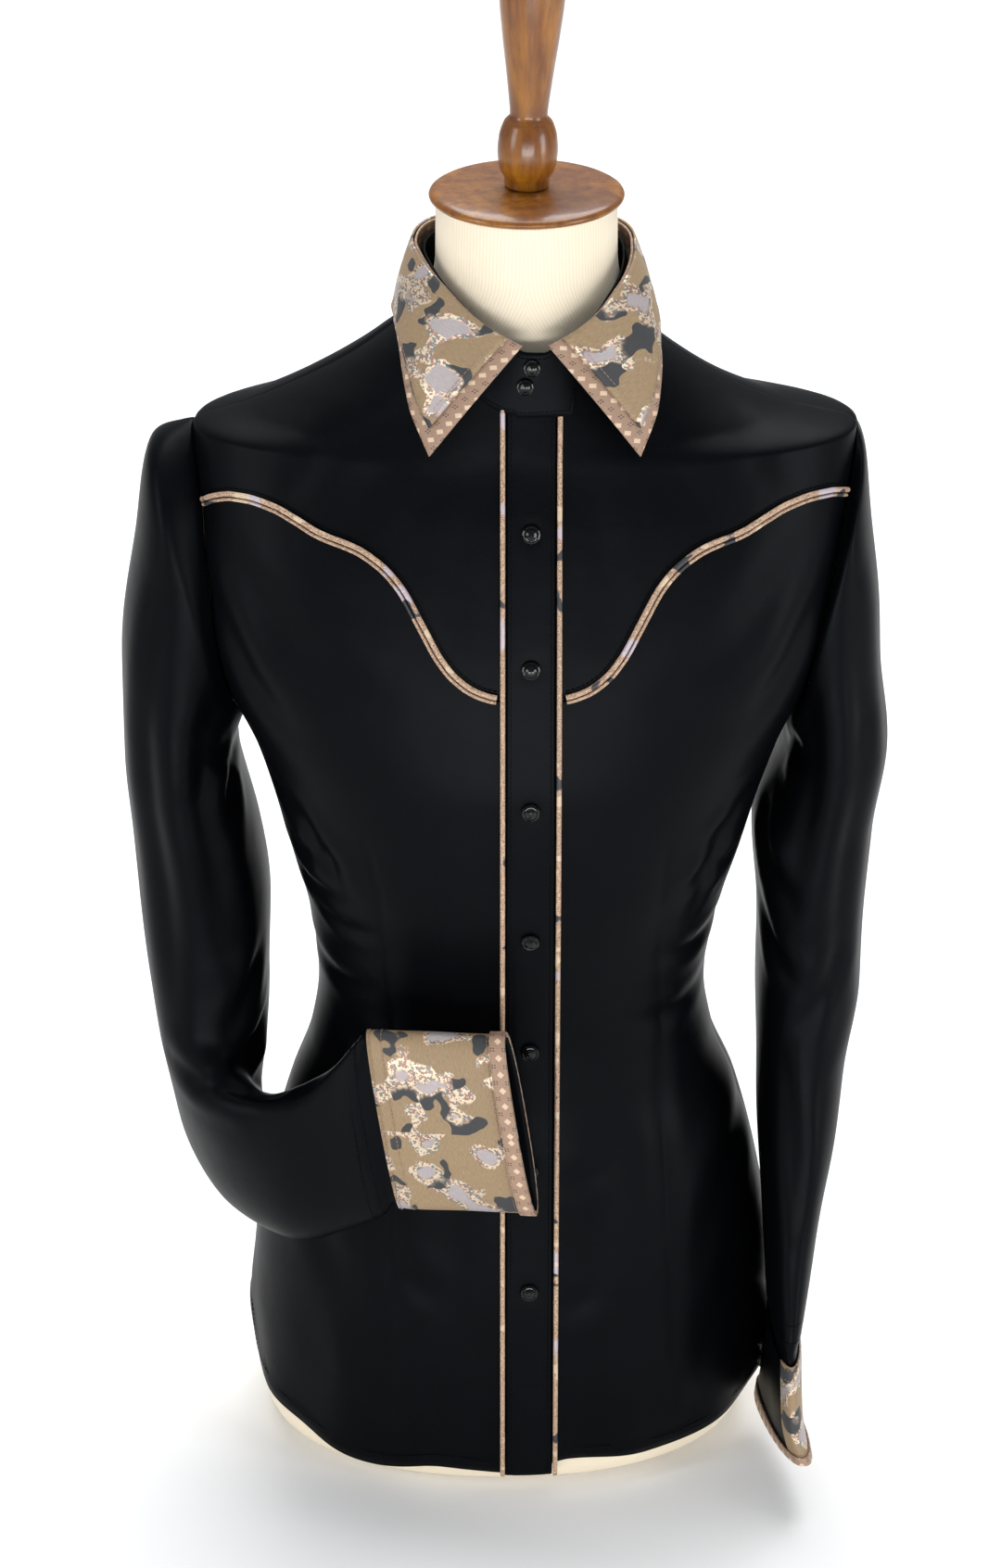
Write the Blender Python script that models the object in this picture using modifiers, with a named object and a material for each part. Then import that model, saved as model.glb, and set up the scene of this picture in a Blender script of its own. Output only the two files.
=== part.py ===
"""A fitted western shirt worn by a limbless dress form.

Metres, +Z up, the front faces -Y and +X is the wearer's left. The origin is the centre of the
form's flat underside. Every cloth piece is a thin wall laid out on one torso surface, or lofted
through rings along a sleeve. Heights, widths and depths come from the short tables below.
"""

import math

import bmesh
import bpy
from mathutils import Matrix, Vector

# ---------------------------------------------------------------- driving sizes

SATIN = 0.0012              # wall of one satin panel
BROCADE = 0.0014            # wall of one brocade layer
CUFF_WALL = 0.0013          # wall of an interfaced cuff
SEAM_GAP = 0.0003           # clearance between sewn neighbours
FORM_EASE = 0.0042          # how far the form lies inside the shirt's outer face

PLACKET_CENTRE = 0.0095     # the button line stands a little to the wearer's left
PLACKET_HALF = 0.0139       # band without its piping
PIPING_RADIUS = 0.0014
SEAM_OFFSET = 0.0155        # from the button line to the seam that the band is sewn to
BAND_LIFT = SATIN + 0.0005  # outer face of what is laid over a panel

UNDERARM_HEIGHT = 0.472
SHOULDER_HEIGHT = 0.646
ARMHOLE_SWING = math.radians(25)   # how far the armhole cuts round from the side
RING_STEPS = 20                    # points round a sleeve
SIDE_RADIUS = 0.06                 # tightest bend of the torso's side, which turns gaps to angles

BUTTON_RADIUS = 0.0054
SMALL_BUTTON_RADIUS = 0.0049
BUTTON_HEIGHTS = (0.6128, 0.5409, 0.4606, 0.3762, 0.2961, 0.2200, 0.1422)
COLLAR_BUTTON_HEIGHTS = (0.7030, 0.6925)

# Torso, outer face of the shirt.
# height, half_width, front, back, shift_x, squareness
TORSO = (
    (0.000, 0.1550, 0.1160, 0.1140, -0.006, 2.2),
    (0.065, 0.1602, 0.1180, 0.1160, 0.000, 2.2),
    (0.118, 0.1563, 0.1165, 0.1130, 0.000, 2.2),
    (0.170, 0.1470, 0.1120, 0.1030, 0.000, 2.2),
    (0.222, 0.1335, 0.1070, 0.0920, 0.000, 2.2),
    (0.260, 0.1195, 0.1020, 0.0830, -0.001, 2.2),
    (0.298, 0.1140, 0.1000, 0.0780, -0.001, 2.2),
    (0.348, 0.1200, 0.1080, 0.0820, 0.000, 2.3),
    (0.397, 0.1330, 0.1175, 0.0900, 0.001, 2.4),
    (0.460, 0.1510, 0.1200, 0.1000, 0.002, 2.4),
    (0.500, 0.1690, 0.1150, 0.1035, 0.002, 2.4),
    (0.541, 0.1810, 0.1070, 0.1050, 0.003, 2.4),
    (0.580, 0.1860, 0.0965, 0.1010, 0.004, 2.4),
    (0.613, 0.1870, 0.0860, 0.0930, 0.006, 2.3),
    (0.646, 0.1860, 0.0740, 0.0750, 0.0065, 2.2),
    (0.658, 0.1490, 0.0710, 0.0650, 0.001, 2.1),
    (0.670, 0.1210, 0.0680, 0.0595, 0.000, 2.1),
    (0.684, 0.0960, 0.0645, 0.0570, 0.001, 2.1),
    (0.696, 0.0790, 0.0620, 0.0555, 0.002, 2.1),
    (0.708, 0.0668, 0.0590, 0.0550, 0.005, 2.0),
    (0.722, 0.0585, 0.0565, 0.0545, 0.007, 2.0),
    (0.745, 0.0545, 0.0545, 0.0545, 0.007, 2.0),
    (0.776, 0.0542, 0.0542, 0.0542, 0.007, 2.0),
)

# Form below the hips, where it leaves the shirt and rounds into its underside.
# height, how far the form's face lies inside the torso surface
FORM_INSET = (
    (0.000, 0.0160),
    (0.004, 0.0115),
    (0.012, 0.0082),
    (0.035, 0.0048),
    (0.065, FORM_EASE),
    (0.776, FORM_EASE),
)

# Neckline, seen from above. angle from the front, distance from the neck's centre
NECKLINE = (
    (0, 0.0660),
    (45, 0.0655),
    (90, 0.0655),
    (135, 0.0610),
    (180, 0.0575),
)

# Yoke seam. distance from the button line, height
YOKE_AT_ARMHOLE = (
    (SHOULDER_HEIGHT + UNDERARM_HEIGHT) / 2
    + (SHOULDER_HEIGHT - UNDERARM_HEIGHT) / 2 * math.cos(math.radians(54))
)
YOKE = (
    (0.000, 0.5225),
    (0.017, 0.5240),
    (0.042, 0.5360),
    (0.060, 0.5600),
    (0.078, 0.5890),
    (0.105, 0.6045),
    (0.132, 0.6155),
    (0.154, 0.6215),
    (0.165, 0.6190),
    (0.172, YOKE_AT_ARMHOLE),
    (0.190, YOKE_AT_ARMHOLE),
)

HEM_AT_SIDE = 0.0750

# Hem. angle from the front (the wearer's right is negative), height
HEM = (
    (-180, 0.0180),
    (-120, 0.0330),
    (-90, HEM_AT_SIDE),
    (-72, 0.0400),
    (-50, 0.0240),
    (-28, 0.0120),
    (-14, 0.0180),
    (0, 0.0140),
    (14, 0.0230),
    (35, 0.0210),
    (55, 0.0290),
    (70, 0.0440),
    (90, HEM_AT_SIDE),
    (120, 0.0330),
    (180, 0.0180),
)

# Collar. angle from the front, fold radius, fold height, then the leaf's lower edge x, y, z
COLLAR = (
    (5, 0.0695, 0.7160, 0.0575, -0.0790, 0.6550),
    (27, 0.0655, 0.7270, 0.0685, -0.0600, 0.6790),
    (51, 0.0612, 0.7400, 0.0720, -0.0370, 0.7000),
    (82, 0.0595, 0.7500, 0.0725, -0.0090, 0.7075),
    (119, 0.0615, 0.7520, 0.0645, 0.0340, 0.7065),
    (150, 0.0605, 0.7490, 0.0380, 0.0600, 0.6990),
    (180, 0.0600, 0.7470, 0.0000, 0.0690, 0.6930),
)
COLLAR_CENTRE = 0.0055      # of the neck; the leaves' points lie further to the wearer's left
COLLAR_SWAY = 0.0060

# Sleeve rings from the armhole down. x is outwards from the middle.
# centre x, y, z; half across (towards the outside) x, y, z; half deep (towards the front) x, y, z
SLEEVE_BENT = (
    (0.1808, 0.002, 0.5475, 0.0222, 0.000, 0.0865, 0.000, -0.056, 0.000),
    (0.1875, 0.003, 0.5160, 0.0275, 0.000, 0.0640, 0.000, -0.058, 0.000),
    (0.1915, 0.003, 0.4775, 0.0325, 0.000, 0.0325, 0.000, -0.060, 0.000),
    (0.1915, 0.002, 0.4410, 0.0335, 0.000, 0.0040, 0.000, -0.061, 0.000),
    (0.1850, 0.000, 0.3930, 0.0370, 0.000, 0.0020, 0.000, -0.060, 0.001),
    (0.1805, -0.002, 0.3430, 0.0378, 0.000, 0.0000, 0.000, -0.058, 0.005),
    (0.1790, -0.006, 0.2960, 0.0345, -0.002, 0.0000, 0.000, -0.056, 0.016),
    (0.1775, -0.014, 0.2530, 0.0300, -0.006, 0.0000, 0.000, -0.053, 0.028),
    (0.1735, -0.034, 0.2220, 0.0235, -0.011, 0.0000, -0.005, -0.044, 0.044),
    (0.1540, -0.067, 0.2100, 0.0170, -0.014, 0.0000, -0.005, -0.024, 0.052),
    (0.1245, -0.094, 0.2180, 0.0140, -0.0170, 0.0000, -0.003, -0.008, 0.056),
    (0.0980, -0.114, 0.2410, 0.0085, -0.0155, 0.0000, 0.003, -0.002, 0.0565),
    (0.0810, -0.1290, 0.2620, 0.0030, -0.0125, 0.0000, 0.008, 0.000, 0.0565),
    (0.0768, -0.1320, 0.2690, 0.0014, -0.0098, 0.0000, 0.0086, 0.000, 0.0550),
    (0.0670, -0.1345, 0.2700, 0.0014, -0.0098, 0.0000, 0.0086, 0.000, 0.0550),
)
CUFF_BENT = (
    (0.0740, -0.1335, 0.2697, 0.0015, -0.0125, 0.0000, 0.009, 0.000, 0.0585),
    (0.0340, -0.1380, 0.2710, 0.0020, -0.0140, 0.0000, 0.009, 0.000, 0.0580),
    (-0.0047, -0.1430, 0.2720, 0.0020, -0.0155, 0.0000, 0.009, 0.000, 0.0575),
)
SLEEVE_HANGING = (
    (0.1780, 0.002, 0.5465, 0.0205, 0.000, 0.0855, 0.000, -0.056, 0.000),
    (0.1818, 0.003, 0.5160, 0.0228, 0.000, 0.0640, 0.000, -0.058, 0.000),
    (0.1838, 0.003, 0.4775, 0.0272, 0.000, 0.0325, 0.000, -0.059, 0.000),
    (0.1845, 0.002, 0.4460, 0.0312, 0.000, 0.0090, 0.000, -0.060, 0.000),
    (0.1745, 0.000, 0.3970, 0.0345, 0.000, 0.0020, 0.000, -0.060, 0.000),
    (0.1740, -0.004, 0.3480, 0.0315, 0.000, 0.0000, 0.000, -0.058, 0.002),
    (0.1740, -0.010, 0.2985, 0.0308, 0.000, 0.0000, 0.000, -0.055, 0.005),
    (0.1710, -0.020, 0.2475, 0.0262, 0.001, 0.0000, 0.001, -0.053, 0.008),
    (0.1685, -0.036, 0.1960, 0.0215, 0.002, 0.0000, 0.001, -0.052, 0.008),
    (0.1650, -0.056, 0.1450, 0.0145, 0.002, 0.0000, 0.001, -0.050, 0.006),
    (0.1620, -0.075, 0.1080, 0.0092, 0.001, 0.0000, 0.002, -0.049, 0.003),
    (0.1618, -0.078, 0.0985, 0.0068, 0.001, 0.0000, 0.002, -0.0465, 0.003),
    (0.1618, -0.081, 0.0880, 0.0068, 0.001, 0.0000, 0.002, -0.0465, 0.002),
)
CUFF_HANGING = (
    (0.1620, -0.080, 0.0950, 0.0088, 0.001, 0.0000, 0.002, -0.0500, 0.003),
    (0.1620, -0.086, 0.0600, 0.0088, 0.001, 0.0000, 0.004, -0.0505, 0.000),
    (0.1625, -0.093, 0.0330, 0.0086, 0.002, 0.0000, 0.010, -0.0490, 0.005),
)
RING_BLUNTNESS = 0.85       # under 1 rounds off the tips of a flattened ring

# Turned wood. radius, height
NECK_CAP = (
    (0.0000, 0.7835),
    (0.0300, 0.7832),
    (0.0490, 0.7820),
    (0.0534, 0.7800),
    (0.0540, 0.7780),
    (0.0525, 0.7763),
    (0.0000, 0.7763),
)
FINIAL = (
    (0.0000, 0.9170),
    (0.0100, 0.9162),
    (0.0165, 0.9120),
    (0.0185, 0.9040),
    (0.0177, 0.8880),
    (0.0155, 0.8676),
    (0.0128, 0.8470),
    (0.0104, 0.8250),
    (0.0135, 0.8200),
    (0.0160, 0.8120),
    (0.0166, 0.8040),
    (0.0155, 0.7950),
    (0.0125, 0.7880),
    (0.0120, 0.7840),
    (0.0000, 0.7840),
)
FINIAL_LEAN = math.radians(1.5)
NECK_CENTRE = (0.0070, 0.0000)

# ---------------------------------------------------------------- reading the tables


def read_table(rows, at):
    """The table's other columns at a value of its first, smooth and without overshoot."""
    at = min(max(at, rows[0][0]), rows[-1][0])
    low = 0
    while low < len(rows) - 2 and rows[low + 1][0] < at:
        low += 1
    below, above = rows[low], rows[low + 1]
    step = above[0] - below[0]
    t = (at - below[0]) / step

    def slope(index, column):
        before = rows[max(index - 1, 0)]
        here = rows[index]
        after = rows[min(index + 1, len(rows) - 1)]
        rise_in = (here[column] - before[column]) / (here[0] - before[0]) if index else None
        last = index == len(rows) - 1
        rise_out = None if last else (after[column] - here[column]) / (after[0] - here[0])
        if rise_in is None:
            return rise_out
        if rise_out is None:
            return rise_in
        if rise_in * rise_out <= 0:
            return 0.0
        return 2 * rise_in * rise_out / (rise_in + rise_out)

    values = []
    for column in range(1, len(below)):
        values.append(
            below[column] * (2 * t ** 3 - 3 * t * t + 1)
            + slope(low, column) * step * (t ** 3 - 2 * t * t + t)
            + above[column] * (3 * t * t - 2 * t ** 3)
            + slope(low + 1, column) * step * (t ** 3 - t * t)
        )
    return values


def ring_at(rows, progress):
    """A sleeve ring between the table's rows; progress runs from 0 to 1."""
    numbered = [(index, *row) for index, row in enumerate(rows)]
    return read_table(numbered, progress * (len(rows) - 1))


# ---------------------------------------------------------------- the torso surface


def torso_point(angle, height):
    """The torso's outer face at an angle from the front."""
    half_width, front, back, shift, squareness = read_table(TORSO, height)
    across, along = math.sin(angle), math.cos(angle)
    reach = (abs(across) ** squareness + abs(along) ** squareness) ** (-1 / squareness)
    depth = front if along > 0 else back
    return Vector((
        shift + half_width * reach * across,
        -depth * reach * along,
        height,
    ))


def torso_normal(angle, height):
    around = torso_point(angle + 0.01, height) - torso_point(angle - 0.01, height)
    upward = torso_point(angle, height + 0.002) - torso_point(angle, height - 0.002)
    return around.cross(upward).normalized()


def on_torso(angle, height, out=0.0):
    return torso_point(angle, height) + torso_normal(angle, height) * out


def front_angle(x, height):
    """The angle at which the front of the torso has this x."""
    half_width, _, _, shift, squareness = read_table(TORSO, height)
    share = min(abs(x - shift) / half_width, 1.0)
    rest = (1 - share ** squareness) ** (1 / squareness)
    return math.copysign(math.atan2(share, rest), x - shift)


def armhole_reach(height, gap=0.0):
    """How far round from the side the armhole has cut at a height."""
    middle = (SHOULDER_HEIGHT + UNDERARM_HEIGHT) / 2
    half = (SHOULDER_HEIGHT - UNDERARM_HEIGHT) / 2
    share = (height - middle) / half
    if abs(share) >= 1:
        return gap / SIDE_RADIUS
    return ARMHOLE_SWING * math.sqrt(1 - share * share) + gap / SIDE_RADIUS


def armhole_heights(lowest, highest):
    """The heights of the sleeve ring's points between two heights, rising."""
    middle = (SHOULDER_HEIGHT + UNDERARM_HEIGHT) / 2
    half = (SHOULDER_HEIGHT - UNDERARM_HEIGHT) / 2
    heights = []
    for step in range(RING_STEPS // 2 + 1):
        height = middle - half * math.cos(2 * math.pi * step / RING_STEPS)
        if lowest - 1e-6 <= height <= highest + 1e-6:
            heights.append(height)
    return heights


def spread(first, last, count):
    """Evenly spaced values, without the last one."""
    return [first + (last - first) * step / count for step in range(count)]


def neckline_at(turn):
    """The torso angle and height where the neckline passes a turn round the neck."""
    radius = read_table(NECKLINE, abs(math.degrees(turn)))[0]
    across, along = radius * math.sin(turn), radius * math.cos(turn)
    low, high = 0.65, 0.74
    for _ in range(40):
        height = (low + high) / 2
        half_width, front, back, _, squareness = read_table(TORSO, height)
        depth = front if along > 0 else back
        share_x, share_y = abs(across) / half_width, abs(along) / depth
        if share_x ** squareness + share_y ** squareness < 1:
            low = height
        else:
            high = height
    angle = math.atan2(share_x, math.copysign(share_y, along))
    return math.copysign(angle, turn), height


def hem_height(angle):
    return read_table(HEM, math.degrees(angle))[0]


def yoke_height(x):
    return read_table(YOKE, abs(x - PLACKET_CENTRE))[0]


# ---------------------------------------------------------------- making objects


def material(name, colour, roughness, metallic=0.0):
    made = bpy.data.materials.new(name)
    made.use_nodes = True
    shader = made.node_tree.nodes["Principled BSDF"]
    shader.inputs["Base Color"].default_value = (*colour, 1.0)
    shader.inputs["Roughness"].default_value = roughness
    shader.inputs["Metallic"].default_value = metallic
    return made


def add_object(name, data, finish, smooth=True):
    made = bpy.data.objects.new(name, data)
    made.data.materials.append(MATERIALS[finish])
    PARTS.objects.link(made)
    if smooth and made.type == "MESH":
        made.data.shade_smooth()
    return made


def grid_mesh(name, columns, rows, place, wrap=False):
    """A grid whose corners go where place(column share, row share) says."""
    surface = bmesh.new()
    bmesh.ops.create_grid(surface, x_segments=columns, y_segments=rows, size=0.5)
    for corner in surface.verts:
        corner.co = place(corner.co.x + 0.5, corner.co.y + 0.5)
    if wrap:
        bmesh.ops.remove_doubles(surface, verts=surface.verts, dist=1e-6)
    mesh = bpy.data.meshes.new(name)
    surface.to_mesh(mesh)
    surface.free()
    return mesh


def cloth(name, columns, rows, place, finish, wall=SATIN, wrap=False):
    """A cloth wall whose outer face is the grid."""
    made = add_object(name, grid_mesh(name, columns, rows, place, wrap), finish)
    thicken = made.modifiers.new("wall", "SOLIDIFY")
    thicken.thickness = wall
    thicken.offset = -1
    thicken.use_even_offset = True
    return made


def cord(name, points, radius, finish):
    curve = bpy.data.curves.new(name, "CURVE")
    curve.dimensions = "3D"
    curve.bevel_depth = radius
    curve.bevel_resolution = 1
    curve.use_fill_caps = True
    line = curve.splines.new("POLY")
    line.points.add(len(points) - 1)
    for slot, point in zip(line.points, points):
        slot.co = (*point, 1.0)
    return add_object(name, curve, finish)


def turned(name, profile, steps, finish):
    """A profile of (radius, height) pairs, top to bottom, turned round the Z axis."""
    outline = bmesh.new()
    corners = [outline.verts.new((radius, 0, height)) for radius, height in profile]
    for start, end in zip(corners, corners[1:]):
        outline.edges.new((start, end))
    mesh = bpy.data.meshes.new(name)
    outline.to_mesh(mesh)
    outline.free()
    made = add_object(name, mesh, finish)
    screw = made.modifiers.new("turn", "SCREW")
    screw.steps = steps
    screw.render_steps = steps
    screw.use_merge_vertices = True
    screw.merge_threshold = 0.00001
    return made


def button(name, point, normal, radius):
    """A small domed button with a chamfered rim, seated just clear of the cloth."""
    profile = (
        (0, 0.0036),
        (radius * 0.45, 0.0033),
        (radius * 0.85, 0.0022),
        (radius, 0.0012),
        (radius * 0.9, 0),
        (0, 0),
    )
    made = turned(name, profile, 12, "black_button")
    seat = point + normal * SEAM_GAP
    turn = normal.to_track_quat("Z", "Y").to_matrix().to_4x4()
    made.matrix_world = Matrix.Translation(seat) @ turn
    return made


# ---------------------------------------------------------------- panels


def seam_x(side):
    """Where a front panel or yoke ends under the band."""
    return PLACKET_CENTRE - SEAM_OFFSET + side * SEAM_GAP / 2


def front_rises():
    """The rows of a front panel, as shares of its height."""
    foot, top = HEM_AT_SIDE, YOKE_AT_ARMHOLE
    armhole = armhole_heights(UNDERARM_HEIGHT, top)
    heights = spread(foot, UNDERARM_HEIGHT, 8) + armhole
    return heights, [(height - foot) / (top - foot) for height in heights]


def yoke_rows():
    """Pairs of a yoke's row ends: (height at the band, or turn of the neckline), outer height."""
    armhole = armhole_heights(YOKE_AT_ARMHOLE, SHOULDER_HEIGHT)
    neck_height = neckline_at(math.pi / 2)[1]
    shoulder = [SHOULDER_HEIGHT + (neck_height - SHOULDER_HEIGHT) * share
                for share in (0.15, 0.32, 0.50, 0.67, 0.84, 0.985)]
    outer = armhole + shoulder
    band_top = neckline_at(0.09)[1]
    foot = yoke_height(PLACKET_CENTRE - SEAM_OFFSET)
    up_band = [foot + (band_top - foot) * step / 5 for step in range(6)]
    round_neck = [math.radians(turn) for turn in (24, 44, 62, 78)]
    inner = [("band", height) for height in up_band] + [("neck", turn) for turn in round_neck]
    return list(zip(inner, outer))


def front_at(side, outward, row):
    """The torso angle and height of a front panel's grid corner."""
    heights, rises = front_rises()
    height = heights[row]
    for _ in range(12):
        inner = front_angle(seam_x(side), height)
        outer = side * (math.pi / 2 - armhole_reach(height, SEAM_GAP))
        angle = inner + (outer - inner) * outward
        bottom, top = hem_height(angle), yoke_height(torso_point(angle, height).x)
        height = bottom + (top - bottom) * rises[row]
    return angle, height


def place_front(side):
    last = len(front_rises()[0]) - 1

    def place(column_share, row_share):
        outward = column_share if side > 0 else 1 - column_share
        return on_torso(*front_at(side, outward, round(row_share * last)))

    return place


def place_yoke(side):
    rows = yoke_rows()
    last_front = len(front_rises()[0]) - 1
    fade_rows = len(armhole_heights(YOKE_AT_ARMHOLE, SHOULDER_HEIGHT)) + 1

    def straight(row, outward):
        (kind, inner_value), outer_height = rows[row]
        if kind == "band":
            inner_angle, inner_height = front_angle(seam_x(side), inner_value), inner_value
        else:
            inner_angle, inner_height = neckline_at(inner_value)
            inner_angle *= side
        outer_angle = side * (math.pi / 2 - armhole_reach(outer_height, SEAM_GAP))
        return (inner_angle + (outer_angle - inner_angle) * outward,
                inner_height + (outer_height - inner_height) * outward)

    def place(column_share, row_share):
        outward = column_share if side > 0 else 1 - column_share
        row = round(row_share * (len(rows) - 1))
        angle, height = straight(row, outward)
        fade = max(0.0, 1 - row / fade_rows)
        seam_angle, seam_height = front_at(side, outward, last_front)
        foot_angle, foot_height = straight(0, outward)
        angle += (seam_angle - foot_angle) * fade
        height += (seam_height + 2 * SEAM_GAP - foot_height) * fade
        return on_torso(angle, height)

    return place


def build_fronts():
    columns = 13
    for side, label in ((-1, "right"), (1, "left")):
        cloth("front_" + label, columns, len(front_rises()[0]) - 1, place_front(side), "black_satin")
        cloth("yoke_" + label, columns, len(yoke_rows()) - 1, place_yoke(side), "black_satin")
        build_yoke_piping(side, label, columns)


def build_yoke_piping(side, label, columns):
    """Two cords along the yoke seam, on the panel's own edge points moved out."""
    band_edge = PLACKET_HALF + 2 * PIPING_RADIUS + 6 * SEAM_GAP
    start = PLACKET_CENTRE + side * band_edge
    seam = [(front_angle(start, yoke_height(start)), yoke_height(start))]
    last_row = len(front_rises()[0]) - 1
    for step in range(columns + 1):
        angle, height = front_at(side, step / columns, last_row)
        if abs(torso_point(angle, height).x - PLACKET_CENTRE) > band_edge + 0.004:
            seam.append((angle, height))
    seam[-1] = (seam[-1][0] - side * 0.012, seam[-1][1])
    on_seam = [on_torso(angle, height) for angle, height in seam]
    for name, radius, sideways in (("yoke_cord_", 0.0015, 0.0015), ("yoke_edge_", 0.0010, -0.0015)):
        points = []
        for index, (angle, height) in enumerate(seam):
            before, after = on_seam[max(index - 1, 0)], on_seam[min(index + 1, len(seam) - 1)]
            normal = torso_normal(angle, height)
            upward = normal.cross((after - before).normalized()) * side
            points.append(on_seam[index] + normal * (radius + 2 * SEAM_GAP) + upward * sideways)
        cord(name + label, points, radius, "piping_brocade")


def build_back():
    columns = 14
    armhole = armhole_heights(UNDERARM_HEIGHT, SHOULDER_HEIGHT)
    side_top = neckline_at(math.pi / 2)[1]
    shoulder = [SHOULDER_HEIGHT + (side_top - SHOULDER_HEIGHT) * share
                for share in (0.2, 0.43, 0.67, 1.0)]
    heights = spread(HEM_AT_SIDE, UNDERARM_HEIGHT, 7) + armhole + shoulder

    def place(column_share, row_share):
        height = row = heights[round(row_share * (len(heights) - 1))]
        start = math.pi / 2 + armhole_reach(row, SEAM_GAP)
        angle = start + (2 * math.pi - 2 * start) * column_share
        turn = angle if angle <= math.pi else angle - 2 * math.pi
        if row < UNDERARM_HEIGHT:
            lift = (UNDERARM_HEIGHT - row) / (UNDERARM_HEIGHT - HEM_AT_SIDE)
            height = row + (hem_height(turn) - HEM_AT_SIDE) * lift
        if row > SHOULDER_HEIGHT:
            share = (row - SHOULDER_HEIGHT) / (side_top - SHOULDER_HEIGHT)
            neck_angle, neck_height = neckline_at(math.pi / 2 + math.pi / 2 * column_share * 2
                                                  if column_share < 0.5 else
                                                  -math.pi + math.pi * (column_share - 0.5))
            height = row + (neck_height - side_top) * share
            neck_angle = neck_angle if neck_angle > 0 else neck_angle + 2 * math.pi
            angle += (neck_angle - angle) * share * share
        return on_torso(angle, height)

    cloth("back", columns, len(heights) - 1, place, "black_satin")


def build_placket():
    """The band over the wearer's left front, its piping and the buttons down it."""
    foot, seam = hem_height(0.0), yoke_height(PLACKET_CENTRE)
    heights = [foot + (seam - foot) * rise for rise in front_rises()[1]]
    up_band = [value for (kind, value), _ in yoke_rows() if kind == "band"]
    heights += up_band[1:-1] + [up_band[-1] - 2 * SEAM_GAP]

    def place(column_share, row_share):
        x = PLACKET_CENTRE + (column_share * 2 - 1) * PLACKET_HALF
        height = heights[round(row_share * (len(heights) - 1))]
        return on_torso(front_angle(x, height), height, BAND_LIFT)

    cloth("placket", 2, len(heights) - 1, place, "black_satin")
    for side, label in ((-1, "right"), (1, "left")):
        x = PLACKET_CENTRE + side * (PLACKET_HALF + SEAM_GAP + PIPING_RADIUS)
        out = PIPING_RADIUS + 2 * SEAM_GAP
        points = [on_torso(front_angle(x, height), height, out) for height in heights]
        cord("placket_piping_" + label, points, PIPING_RADIUS, "piping_brocade")
    for number, height in enumerate(BUTTON_HEIGHTS, 1):
        angle = front_angle(PLACKET_CENTRE, height)
        row = max(index for index, at in enumerate(heights) if at <= height)
        share = (height - heights[row]) / (heights[row + 1] - heights[row])
        last = len(heights) - 1
        seat = place(0.5, row / last).lerp(place(0.5, (row + 1) / last), share)
        seat += torso_normal(angle, height) * SEAM_GAP * 1.3
        button("button_%d" % number, seat, torso_normal(angle, height), BUTTON_RADIUS)


# ---------------------------------------------------------------- collar


def collar_centre(angle):
    return COLLAR_CENTRE + COLLAR_SWAY * max(0.0, math.cos(angle))


def fold_point(angle, inset=0.0, drop=0.0):
    """The collar's fold line round the neck."""
    turn = abs(math.degrees(math.remainder(angle, 2 * math.pi)))
    radius, height = read_table(COLLAR, turn)[:2]
    reach = radius - inset
    return Vector((
        collar_centre(angle) + reach * math.sin(angle), -reach * math.cos(angle), height - drop
    ))


def leaf_point(share, fall):
    """The collar leaf: share runs from the right front corner round the back to the left."""
    side = -1 if share < 0.5 else 1
    turn = COLLAR[0][0] + (180 - COLLAR[0][0]) * (1 - abs(2 * share - 1))
    radius, height, edge_x, edge_y, edge_z = read_table(COLLAR, turn)
    angle = side * math.radians(turn)
    fold = fold_point(angle)
    edge = Vector((collar_centre(angle) + side * edge_x, edge_y, edge_z))
    away = Vector((math.sin(angle), -math.cos(angle), 0.6)).normalized()
    return fold.lerp(edge, fall) + away * 0.0020 * math.sin(math.pi * fall)


def leaf_on(share, fall, out):
    share = min(max(share, 0.002), 0.998)
    around = leaf_point(share + 0.002, fall) - leaf_point(share - 0.002, fall)
    down = leaf_point(share, fall + 0.02) - leaf_point(share, fall - 0.02)
    return leaf_point(share, fall) + around.cross(down).normalized() * out


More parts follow.
